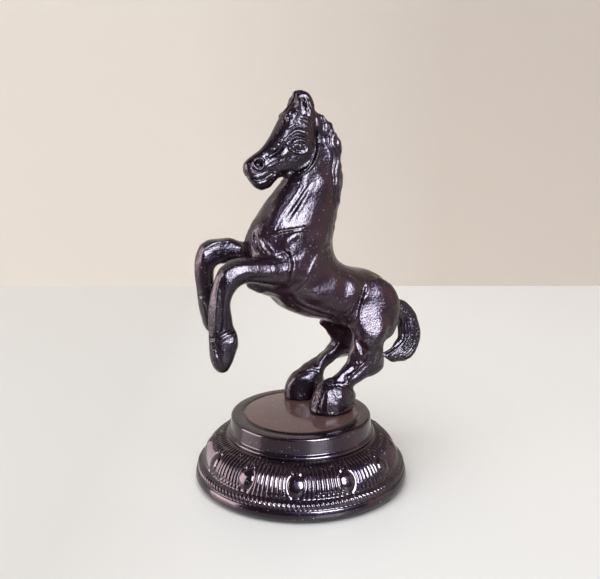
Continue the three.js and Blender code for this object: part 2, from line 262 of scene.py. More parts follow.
def toObject(name, bm, material):
    # the mesh is in millimetres until here
    bmesh.ops.scale(bm, vec=(millimetre,) * 3, verts=bm.verts)
    mesh = written(bm, bpy.data.meshes.new(name))
    mesh.shade_smooth()
    mesh.materials.append(material)
    return placed(name, mesh)


def standIn(piece, slot, *nodes):
    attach(piece, "root")
    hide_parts(*nodes)
    return piece


# The horse

horse = {
    "nodes": ["body_left_half", "body_right_half", "foreleg_left", "foreleg_right",
              "hindleg_left", "hindleg_right"],
    "halves": 2,             # the first two are the halves of the body
    "midPlaneY": 5.0,
    "headFrom": 114.5,       # the head is above this level and before this place
    "headUpTo": 12.5,
    "maneFrom": 92.0,
    "closing": 0.9,          # the forms are swollen this much, joined and shrunk again, which fillets them
    "shrinking": 0.72,
    "voxel": 0.8,
    "smoothRounds": 30,
    "seamRounds": 14,
    "flatStrength": 0.95,
}


def swollenCopy(node, swell):
    bm = meshed(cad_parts[node].data)
    bmesh.ops.remove_doubles(bm, verts=bm.verts, dist=1e-6)
    bmesh.ops.scale(bm, vec=(1 / millimetre,) * 3, verts=bm.verts)
    bm.normal_update()
    moves = [vert.normal * swell for vert in bm.verts]
    for vert, move in zip(bm.verts, moves):
        vert.co += move
    return bm


def joined(parts, name):
    mesh = bpy.data.meshes.new(name)
    whole = bmesh.new()
    for part in parts:
        whole.from_mesh(written(part, mesh))
    return placed(name, written(whole, mesh))


def applied(piece):
    # the mesh with its modifiers worked in, and the object itself removed
    seen = bpy.context.evaluated_depsgraph_get()
    mesh = bpy.data.meshes.new_from_object(piece.evaluated_get(seen))
    bpy.data.objects.remove(piece)
    return mesh


def outerShell(mesh):
    # keeps the shell that holds the highest point and drops what is sealed inside it
    bm = meshed(mesh)
    top = max(bm.verts, key=lambda vert: vert.co.z)
    reached = {top}
    waiting = [top]
    while waiting:
        near = waiting.pop()
        for link in near.link_edges:
            far = link.other_vert(near)
            if far not in reached:
                reached.add(far)
                waiting.append(far)
    bmesh.ops.delete(bm, geom=[vert for vert in bm.verts if vert not in reached], context="VERTS")
    return written(bm, mesh)


def remeshed(parts, voxel, name):
    piece = joined(parts, name)
    skin = piece.modifiers.new("one skin", "REMESH")
    skin.mode = "VOXEL"
    skin.voxel_size = voxel
    return outerShell(applied(piece))


def fetched(collection, what, width, kind=float):
    values = np.empty(len(collection) * width, kind)
    collection.foreach_get(what, values)
    return values.reshape(-1, width)


def gauss(value):
    return np.exp(-value ** 2)


def dome(value):
    # a round hill over 0 that ends at 1
    return np.clip(1 - value ** 2, 0, 1) ** 2


def climb(value, start, length):
    # 0 as far as the start, and from there up to 1 over the length
    return np.clip((value - start) / length, 0, 1)


bothSides, leftSide, rightSide = (-1, 1), (-1,), (1,)


class Clay:
    # a mesh as arrays, for the sculpting: points in millimetres, their normals and neighbours
    easing = 0.5             # how far one smoothing pass moves a point towards the mean of its neighbours
    swelling = -0.52         # and how far the pass after it moves it back out
    closeReach = 2.5         # where a path's points are looked for on the surface, and where next
    wideReach = 8.0
    endHeight = 0.25         # what is left of a stroke's height at a tapered end
    borderPlace = 1.7        # the middle and the width of a stroke's raised borders, in widths of the stroke
    borderWidth = 0.7
    strokeReach = 3.0        # how far a stroke is felt to each side, in its widths, and how far a ribbon
    ribbonReach = 2.0
    ribbonRounds = 3         # passes that even out a ribbon's middle line
    facesFrom = 0.1          # how far round a point may face and still be flattened, and fully so
    facesOver = 0.4
    refineRounds = 4         # smoothing passes where the mesh has been made finer

    def __init__(self, mesh):
        self.mesh = mesh
        self.read()

    def read(self):
        self.points = fetched(self.mesh.vertices, "co", 3)
        self.ends = fetched(self.mesh.edges, "vertices", 2, int)
        self.count = np.bincount(self.ends.ravel(), minlength=len(self.points))[:, None]
        self.normals = fetched(self.mesh.vertex_normals, "vector", 3)

    def turn(self):
        # the normals again, after the points have moved
        self.mesh.vertices.foreach_set("co", self.points.ravel())
        self.mesh.update()
        self.normals = fetched(self.mesh.vertex_normals, "vector", 3)

    def spread(self, values):
        # the mean of each point's neighbours
        total = np.zeros_like(values)
        for axis in range(values.shape[1]):
            for near, far in ((0, 1), (1, 0)):
                total[:, axis] += np.bincount(self.ends[:, near], values[self.ends[:, far], axis],
                                              minlength=len(values))
        return total / self.count

    def smooth(self, rounds, mask=1.0, keep=True):
        # with keep, every second pass swells back what the first has shrunk
        for turn in range(rounds):
            step = self.swelling if keep and turn % 2 else self.easing
            self.points += step * mask * (self.spread(self.points) - self.points)

    def halve(self):
        # one level of subdivision all over
        self.turn()
        piece = placed("clay", self.mesh)
        finer = piece.modifiers.new("finer", "SUBSURF")
        finer.levels = finer.render_levels = 1
        self.mesh = applied(piece)
        self.read()

    def refine(self, inside):
        # halves the mesh where a test on the points holds
        self.turn()
        chosen = inside(self.points)
        bm = meshed(self.mesh)
        bm.verts.index_update()
        edges = [edge for edge in bm.edges if chosen[edge.verts[0].index] and chosen[edge.verts[1].index]]
        bmesh.ops.subdivide_edges(bm, edges=edges, cuts=1, use_grid_fill=True)
        written(bm, self.mesh)
        self.read()
        self.smooth(self.refineRounds, inside(self.points)[:, None].astype(float))
        self.turn()

    def nearby(self, line, reach):
        # which points lie in the box that holds a line, with some room round it
        low, high = line.min(0) - reach, line.max(0) + reach
        x, y, z = self.points.T
        return np.flatnonzero((x > low[0]) & (x < high[0]) & (y > low[1]) & (y < high[1])
                              & (z > low[2]) & (z < high[2]))

    def apart(self, near, line):
        # how far each of the chosen points is from each point of a line
        return np.sqrt(((self.points[near][:, None] - line[None]) ** 2).sum(2))

    def settle(self, line):
        # the line's points, moved onto the surface
        near = self.nearby(line, self.closeReach)
        if not len(near):
            near = self.nearby(line, self.wideReach)
        return self.points[near[self.apart(near, line).argmin(0)]]

    def stroke(self, path, width, height, taper=0.3, raised=0.0, sides=bothSides):
        # raises a ridge along a path, or presses a groove where height is below zero, with raised borders
        # the path is given on the horse's left side and is mirrored for the right one
        for side in sides:
            line = self.settle(curved(onSide(path, side)))
            near = self.nearby(line, self.strokeReach * width)
            away = self.apart(near, line)
            place = away.argmin(1) / max(1, len(line) - 1)
            away = away.min(1)
            ends = np.clip(np.minimum(place, 1 - place) / taper, 0, 1) if taper and len(line) > 1 else 1.0
            fade = self.endHeight + (1 - self.endHeight) * ends
            rise = height * gauss(away / width) * fade
            rise -= raised * height * gauss((away / width - self.borderPlace) / self.borderWidth) * fade
            self.points[near] += rise[:, None] * self.normals[near]

    def strokes(self, paths, strength, sides):
        for path, width, height, *more in paths:
            self.stroke(path, width, height * strength, *more, sides=sides)
        self.turn()

    def pull(self, centre, reach, move, sides):
        # draws the surface round a point along with it
        for side in sides:
            spot = onSide([centre], side)
            near = self.nearby(spot, reach)
            share = dome(self.apart(near, spot)[:, 0] / reach)
            self.points[near] += share[:, None] * wayOn(move, side)

    def flatten(self, centre, reach, strength, facing, sides, settled):
        # draws the surface round a point towards the plane through it that faces a given way
        # what faces away from the plane is spared, and a settled point is first moved onto the surface
        for side in sides:
            spot = onSide([centre], side)
            if settled:
                spot = self.settle(spot)
            outward = wayOn(facing, side)
            near = self.nearby(spot, reach)
            share = strength * dome(self.apart(near, spot)[:, 0] / reach)
            share *= climb(self.normals[near] @ outward, self.facesFrom, self.facesOver)
            lift = (spot - self.points[near]) @ outward
            self.points[near] += (share * lift)[:, None] * outward

    def ribbon(self, path, width, facing=None, sides=bothSides):
        # turns a strip of the surface along a path to face a given way, or the window's where none is given
        for side in sides:
            line = self.settle(curved(onSide(path, side)))
            for turn in range(self.ribbonRounds):
                line[1:-1] = (line[:-2] + 2 * line[1:-1] + line[2:]) / 4
            outward = wayOn(facing or bright, side)
            reach = self.ribbonReach * width
            near = self.nearby(line, reach)
            away = self.apart(near, line)
            share = dome(away.min(1) / reach)
            lift = ((line[away.argmin(1)] - self.points[near]) * outward).sum(1)
            self.points[near] += (share * lift)[:, None] * outward


def onSide(path, side):
    # side -1 is the horse's left, where the paths are drawn, and 1 its right
    line = np.array(path, float)
    if side > 0:
        line[:, 1] = 2 * horse["midPlaneY"] - line[:, 1]
    return line


def wayOn(way, side):
    # a direction or a move, given for the left side
    return np.array([way[0], -side * way[1], way[2]])


def curved(line, spacing=0.25):
    # a smooth line through the given points
    if len(line) < 2:
        return line
    padded = np.vstack([2 * line[0] - line[1], line, 2 * line[-1] - line[-2]])
    made = []
    for before, start, end, after in zip(padded, padded[1:], padded[2:], padded[3:]):
        steps = max(2, int(np.linalg.norm(end - start) / spacing))
        for step in range(steps):
            t = step / steps
            made.append(0.5 * (2 * start + (end - before) * t
                               + (2 * before - 5 * start + 4 * end - after) * t ** 2
                               + (3 * start - before - 3 * end + after) * t ** 3))
    return np.array([*made, line[-1]])


def makeSkin():
    # the solids as one skin, with soft creases where they meet
    whole = remeshed([swollenCopy(node, horse["closing"]) for node in horse["nodes"]],
                     horse["voxel"], "horse_skin")
    clay = Clay(whole)
    clay.smooth(horse["smoothRounds"])
    clay.turn()
    clay.points -= horse["shrinking"] * clay.normals
    clay.smooth(horse["smoothRounds"])
    clay.halve()
    return clay


# the larger forms, each drawn by a point, a reach and a move
formPulls = [
    ((-4, -7.2, 98), 6, (0, -0.9, 0)),              # shoulder under the collar fold
    ((-14, 4.4, 116.5), 4.5, (0.3, 0, -0.5)),       # chin
    ((-15, 3.5, 106), 6, (0.5, 0, -0.2)),           # front of the neck
    ((-9, 4, 117.5), 4, (0.4, 0, -0.4)),
    ((-4.4, 4.6, 117.4), 3.6, (0.9, 0, 0.5)),       # throat
    ((17, 4, 131), 7.5, (0.7, 0, 0.3)),             # crest
    ((18, 4, 118), 8, (0.3, 0, 0)),
    ((11, -1.5, 124), 8, (0, 1.1, 0)),              # hollow behind the jaw
    ((-1, -8.4, 87), 9, (0, -1.1, -0.2)),           # round of the shoulder
    ((2, 0, 128.5), 6.5, (0, -0.8, -0.2)),          # round of the jaw
    ((-9.5, 2.5, 126.5), 4, (0, 0.5, 0)),           # hollow of the cheek before the jaw
    ((4, 3.4, 149), 4, (0.1, -0.3, 0.5)),           # ears
    ((-1.5, -1.5, 131), 3, (0, 0.7, 0)),            # eye socket
    ((33, 2, 78.5), 8, (0.4, 0, 0.5)),              # croup
    ((37.5, -2, 74.5), 7, (0.3, 0, 0.3)),
    ((-18.5, 3.5, 79.2), 6.5, (-0.5, 0, -0.9)),     # breast, before the belly
    ((-12.5, 1, 75.5), 5.5, (0.2, 0, 1.1)),
    ((-4, 1, 69.5), 7, (0, 0, -0.4)),
    ((3, 0, 66.5), 7, (0, 0, -0.4)),
    ((-9.6, 3.6, 71.8), 5.5, (0.4, 0, 0.7)),
    ((-17.5, 4.4, 76.4), 4.5, (0.2, 0, 0.5)),
    ((-10.5, 2, 111), 6, (0.5, 0, -0.3)),
    ((-13, 1.5, 107.5), 5, (0.5, 0, -0.2)),
    ((11.7, 3.3, 140.7), 3.5, (0.3, 0, 0.4)),
    ((14.5, 4.4, 137.9), 4, (0.5, 0, 0.3)),
    ((15.6, 1.6, 102.5), 5, (0.4, 0, 0)),
    ((13.4, -0.9, 93), 3.5, (-0.4, 0, 0)),
    ((37.1, 1.8, 77), 5, (0.3, 0, 0.35)),
    ((27.5, -9.7, 58.5), 9, (0, -1.6, 0)),          # round of the thigh
    ((2.5, 3.6, 151.2), 2.6, (0, 0, -0.3)),         # tips of the ears
    ((-2.2, 3, 148.5), 3, (0.5, 0, 0)),
    ((-19.3, 4.8, 78.1), 4.5, (0, 0, -0.1)),
    ((-16, 2.5, 76.6), 4.5, (-0.1, 0, -0.4)),
    ((-9.8, 2.1, 73.2), 4, (0.3, 0, 0.35)),
    ((17.2, 5, 135.6), 4, (-0.3, 0, -0.25)),
    ((11.6, -2.9, 93.6), 4, (-0.4, 0.1, 0)),
    ((-18.1, 2.9, 117.9), 3.5, (0.3, 0, 0.3)),
    ((-10.8, 4.4, 116.6), 3, (0.2, 0, -0.35)),
]

nearPulls = [
    ((29.4, -10.4, 53.5), 4.5, (-0.8, 0.2, 0)),     # back of the thigh
    ((33.1, -9.5, 56.9), 4, (-0.35, 0, 0.3)),
    ((20, -7.2, 46.4), 4.5, (1.5, 0, -0.9)),        # front of the hind cannon
    ((17, -7, 44.9), 4.5, (1.7, 0, -1.5)),
    ((12.6, -7.5, 41.6), 4.5, (1.6, 0, -1.4)),
    ((9.4, -7.4, 39.6), 3.5, (0.8, 0, -0.8)),
    ((24.5, -8.5, 41.2), 5, (0.35, 0, -0.5)),       # and its back
    ((29.5, -8.5, 42.6), 5, (0.4, 0, -0.3)),
    ((20.5, -7, 33), 4.5, (0.9, 0, 0.8)),           # heel
    ((22.5, -6, 31), 4, (0.6, 0, 0.4)),
    ((-35.5, -7, 55), 8, (-0.5, 0, 0)),             # raised hoof
    ((-30.4, -6.7, 64.4), 3.5, (0.45, 0, 0)),
    ((35, -7.6, 52.6), 4.5, (-1.7, 0.6, 0)),        # back of the hock
    ((34.6, -7.2, 48.8), 4, (-1, 0.3, 0.2)),
    ((15.5, -2.4, 44), 5, (0.9, 0, -1.3)),          # top of the hind cannon, under the gap
    ((13, -2, 41.9), 4.5, (0.8, 0, -1.1)),
    ((11.5, -2, 40), 4, (0.5, 0, -1.3)),
    ((18.6, -2.6, 46.2), 4, (1.1, 0, 0)),
    ((21.7, -7.5, 38.1), 3.5, (0.2, 0, -0.5)),
    ((29.3, -7.5, 40.4), 4, (0.2, 0, -0.6)),
    ((33.1, -6.8, 42), 4, (0.4, 0, -0.5)),
    ((20.5, -7.2, 32.5), 5.5, (0.7, 0, 0.2)),
    ((-31.3, -5.8, 52.5), 4, (-0.5, 0, 0.1)),
    ((-29.9, -6.8, 56.6), 4, (-0.5, 0, 0.1)),
    ((-31, -6.5, 76), 6, (-0.45, 0, 0)),
    ((21.1, -6.6, 35), 4, (-0.9, 0, 0)),
    ((33.1, -7.1, 51.8), 3.5, (-0.45, 0.15, 0)),
]

# points on the horse's right side are given mirrored, on its left
farPulls = [
    ((18.5, -3, 54), 8, (-3.8, 0, 0.6)),            # the far thigh shows before the near one
    ((20, -3, 59), 6, (-2, 0, 0)),
    ((15.5, -2.5, 59.5), 6, (-1.4, 0, -0.2)),
    ((16.9, -0.8, 41), 4.5, (-1.6, 0, 0.9)),        # back of the far cannon
    ((19.4, -1.5, 42.8), 5, (-1.3, 0, 1.5)),
    ((24, -0.9, 44.4), 5.5, (0, 0, 2.4)),
    ((7.5, -3.5, 39.2), 4.5, (0.5, 0, -0.5)),       # and its front
    ((14, -4.8, 56.5), 6, (-0.8, 0, -0.3)),
    ((-31.5, -2.6, 94.5), 7, (-0.35, 0, 0.7)),      # far knee
    ((-24, -1.8, 94.8), 5, (0, 0, 0.5)),
    ((-35.8, -2.2, 71.8), 5, (0.5, 0, 0)),
    ((26.4, -2.5, 40.2), 6.5, (-0.2, 0, 2.6)),      # underside of the far gaskin, over the gap
    ((22.6, -2.6, 39.2), 5, (-0.4, 0, 1.5)),
    ((19, -2.4, 37.6), 4.5, (-1.3, 0, 0.6)),
    ((17.9, -2.3, 34.9), 4, (-1.2, 0, 0)),
    ((7.9, -8.4, 38.3), 4, (0.4, 0, -0.6)),
    ((16.7, -3.7, 57.1), 5, (-0.5, 0, -0.3)),
    ((19.7, -4.8, 54), 5, (-0.6, 0, 0)),
    ((-29.4, -2.2, 87.4), 4.5, (0.6, 0, -1)),       # underside of the far forearm
    ((-27.5, -2.7, 88.4), 5, (0.3, 0, -1.4)),
    ((-24.3, -3.4, 88.5), 5, (0, 0, -0.9)),
    ((-29, -2.6, 85.3), 4, (-0.1, 0, 1.4)),
    ((27.3, -6, 41), 4.5, (0, 0, -0.45)),
    ((-22.9, -3.7, 95.9), 4.5, (0, 0, 0.4)),
]


bright = (-0.20, -0.92, 0.35)     # a plane that faces this way mirrors the window
thighWay = (-0.21, -0.93, 0.28)   # and so does this one, which keeps to the slope of the thigh
foreWay = (-0.19, -0.91, 0.37)    # and this one, along the forearm
dark = (0.06, -0.99, 0.08)        # this one mirrors the dim room beyond the table's edge
violet = (-0.03, -0.95, 0.31)     # this one the sky beside the window
warm = (0.3, -0.95, 0.1)          # and this one the room's warm side
shinWay = (-0.93, -0.33, 0.15)    # this one the pale shelf on the left
hoofWay = (-0.45, -0.89, -0.05)   # and this one the table top before the horse

# planes of the larger forms: a middle, its reach, how strongly, and the way it faces
planes = [
    ((-5.8, -3.5, 107), 11, 0.85, bright),          # side of the neck
    ((3, -2, 119.5), 6, 0.9, dark),
    ((8.3, -3.1, 114), 6, 0.7, dark),
    ((-4.7, -0.3, 126.3), 6, 0.9, dark),            # cheek
    ((-0.9, -0.9, 126.1), 5, 0.9, dark),
    ((3.5, -0.2, 128), 4.5, 0.9, dark),
    ((-1.5, 0.1, 141.5), 4.5, 0.9, dark),           # foot of the ear, and its side
    ((0.6, 1, 145.5), 3.5, 0.9, dark),
    ((1.7, 1.7, 148), 2.5, 0.9, dark),
    ((2.5, 0.8, 145.5), 3, 0.8, dark),
    ((13.5, 0.3, 134.5), 5, 0.8, warm),             # mane
    ((9.4, 0.1, 128.5), 4.5, 0.95, warm),
    ((9.6, 1.7, 133.5), 4, 0.95, warm),
    ((10.2, 1.9, 138.8), 4.5, 0.95, warm),
    ((14.5, -0.4, 127.5), 6, 0.8, warm),
    ((14.5, -0.8, 119.5), 6, 0.8, warm),
    ((14, -1.2, 111.5), 6, 0.8, warm),
    ((-3.3, -0.3, 139.6), 3, 0.8, dark),
    ((-8.5, -6.6, 96.6), 4.5, 0.9, dark),           # shoulder
    ((0.5, -7.9, 95), 6, 0.9, dark),
    ((-4.5, -6.9, 97), 5.5, 0.9, dark),
    ((-4, -7.7, 93.5), 8.5, 0.95, dark),
    ((-3, -8.4, 87.5), 7.5, 0.95, dark),
    ((25.5, -9.4, 66), 10.5, 0.95, thighWay),       # haunch
    ((26.3, -10.8, 60), 9, 0.9, thighWay),
    ((3.6, -8.5, 78), 7, 0.85, violet),             # flank
    ((10.2, -8.4, 78.8), 6.5, 0.85, violet),
    ((16.9, -8.2, 76.5), 7, 0.9, bright),           # before its folds
    ((18.5, -7.7, 42.8), 3.6, 0.9, bright),         # hind cannon
    ((14.4, -7.8, 40.4), 3.4, 0.9, bright),
    ((22.6, -8.7, 45.6), 3.4, 0.9, bright),
    ((9.3, -10.8, 32.8), 7, 0.9, bright),           # standing hoof
    ((-33.6, -8.1, 63.4), 4, 0.9, bright),          # raised hoof
]

# the same on the side of the far legs that faces the near ones
innerPlanes = [
    ((-28, 9.8, 92.6), 8, 0.95, dark),
    ((-33.5, 10.1, 90), 6, 0.9, dark),
    ((5, 10.3, 34.5), 8, 0.9, hoofWay),
    ((17.5, 10.6, 43.5), 6, 0.7, dark),
    ((23.7, 11, 48), 5, 0.7, dark),
]

# strips of the finished surface: a path, a width, and the way it faces where that isn't the window's
ribbons = [
    # cheekbone and the bone beside the nose
    ([(-5.2, -1.2, 130.4), (-7.1, -0.9, 128.9), (-9.6, 0, 127.3), (-12.4, 0.7, 125.8),
      (-13.8, 1, 125)], 0.75),
    ([(-10.3, 0.9, 130.5), (-9.2, 0.5, 131.8)], 0.8),
    ([(-8, 0, 133), (-7.2, -0.1, 134.4)], 0.35),
    # brow
    ([(-5.7, 0.1, 136.4), (-4.6, -0.1, 137.9), (-3.3, -0.4, 138.7), (-1.8, -0.6, 139.1)], 0.42),
    ([(-4.6, -0.5, 136.4), (-3.4, -0.8, 137.6), (-2, -1.1, 138.3), (-0.6, -1.3, 138.3),
      (0.6, -1.3, 137.8)], 0.45),
    # fold over the eye, its lids, ball and corners
    ([(-6, -0.5, 133.3), (-4.8, -1, 134.1), (-3.2, -1.3, 135), (-2, -1.5, 135.4)], 0.42),
    ([(-5.6, -0.8, 132.4), (-4.2, -1.2, 133.6), (-2.6, -1.5, 134.3)], 0.28),
    ([(-4.9, -1.4, 130.9), (-4.4, -1.6, 132), (-3.4, -1.8, 132.8), (-2.2, -1.8, 133.2)], 0.42),
    ([(-3.5, -1.1, 131.4), (-2.6, -1.3, 132), (-1.6, -1.4, 132.2)], 0.28),
    ([(-4.9, -1.4, 130.4), (-3.6, -1.4, 129.7)], 0.6),
    ([(-1.2, -1.6, 129.2), (0.3, -1.6, 129.7), (1.3, -1.7, 130.9), (1.3, -1.8, 131.9)], 0.38),
    # ear, forelock and the knots beneath
    ([(2.7, 0.9, 148), (3, 0.6, 146.3), (2.6, 0.4, 143.8)], 0.3),
    ([(3.8, 0.7, 145), (3.8, 0.5, 143.6), (3.3, 0.4, 142)], 0.5),
    ([(-4.7, 2.3, 142.4)], 0.4),
    ([(-4.6, 1.4, 141.2), (-4.5, 1.1, 140.3)], 0.4),
    ([(-1.8, 0.7, 142.9)], 0.35),
    ([(0.6, -0.1, 141.5), (1.3, -0.3, 141)], 0.3),
    ([(1.4, -0.3, 140.7), (2.4, -0.5, 140)], 0.3),
    ([(0.4, -1, 139.7), (1.2, -1.1, 138.9)], 0.3),
    # nostril, corner of the mouth and throat
    ([(-16.6, 1.9, 126.6), (-15.6, 1.6, 127), (-14.8, 1.3, 126.6)], 0.3),
    ([(-17.9, 1.3, 124.2), (-17.2, 1, 123.4), (-16.2, 0.9, 123.1)], 0.35),
    ([(-11.6, 1.5, 120.9), (-10.6, 1.3, 121.5)], 0.35),
    ([(-3.6, -0.1, 117.2), (-1.7, -1.1, 117.7)], 0.4),
    # front edge of the near foreleg
    ([(-35.6, -4.8, 85.5), (-36.8, -4.8, 83), (-38.3, -4.7, 77.9), (-39, -4.8, 71),
      (-39.2, -4.8, 66.5)],
     1.15, shinWay, leftSide),
    # top of the forearms: the near one catches the window, the far one doesn't
    ([(-33.4, -8, 87.6), (-30, -8.4, 88.9), (-25.4, -8.8, 88.8), (-20.5, -9.2, 88.4),
      (-16.5, -9.3, 88)],
     1.35, foreWay, leftSide),
    ([(-34.3, 10.6, 93.6), (-31.5, 10, 94.9), (-28.6, 10.1, 95.3), (-25, 9.8, 95.2)],
     1.1, dark, leftSide),
    # the hollow between the two muscles of the neck
    ([(-12.4, -3.9, 101.9), (-9.3, -3.2, 106.2), (-6, -2.4, 109.6), (-2.7, -1.8, 113.1),
      (-0.4, -1.3, 116)],
     0.45, dark),
    # hind cannon
    ([(13, -7.4, 40.2), (15, -7.1, 41.8), (18, -7.4, 43.8), (21, -7.6, 45.7)],
     0.75, bright, leftSide),
]

# small flats of the finished surface: a point near each, its reach, and the way it faces
flats = [
    ((24.8, -9.6, 64.4), 7.5, thighWay),            # haunch
    ((-4.3, -7.6, 95.6), 4.8, dark),                # shoulder
    ((-0.6, -8, 93.4), 5.2, dark),
    ((-2.8, -8.4, 90), 4.8, dark),
    ((-8, -6.9, 96.8), 3.6, dark),
    ((-5.9, -7.6, 93.1), 3.6, dark),
    ((-5.9, -7.5, 98), 3.2, dark),
]

nearFlats = [
    ((8.8, -10.7, 33.4), 4, bright),                # standing hoof
    ((10.8, -11, 35.2), 2.6, bright),
    ((-32.6, -8.8, 62.8), 2.2, bright),             # raised hoof
]


def shapeForms(clay):
    for pulls, sides in ((formPulls, bothSides), (nearPulls, leftSide), (farPulls, rightSide)):
        for centre, reach, move in pulls:
            clay.pull(centre, reach, move, sides)
    clay.turn()
    for faces, sides in ((planes, bothSides), (innerPlanes, leftSide)):
        for centre, reach, strength, facing in faces:
            clay.flatten(centre, reach, strength, facing, sides, settled=facing not in (bright, violet))
    clay.turn()


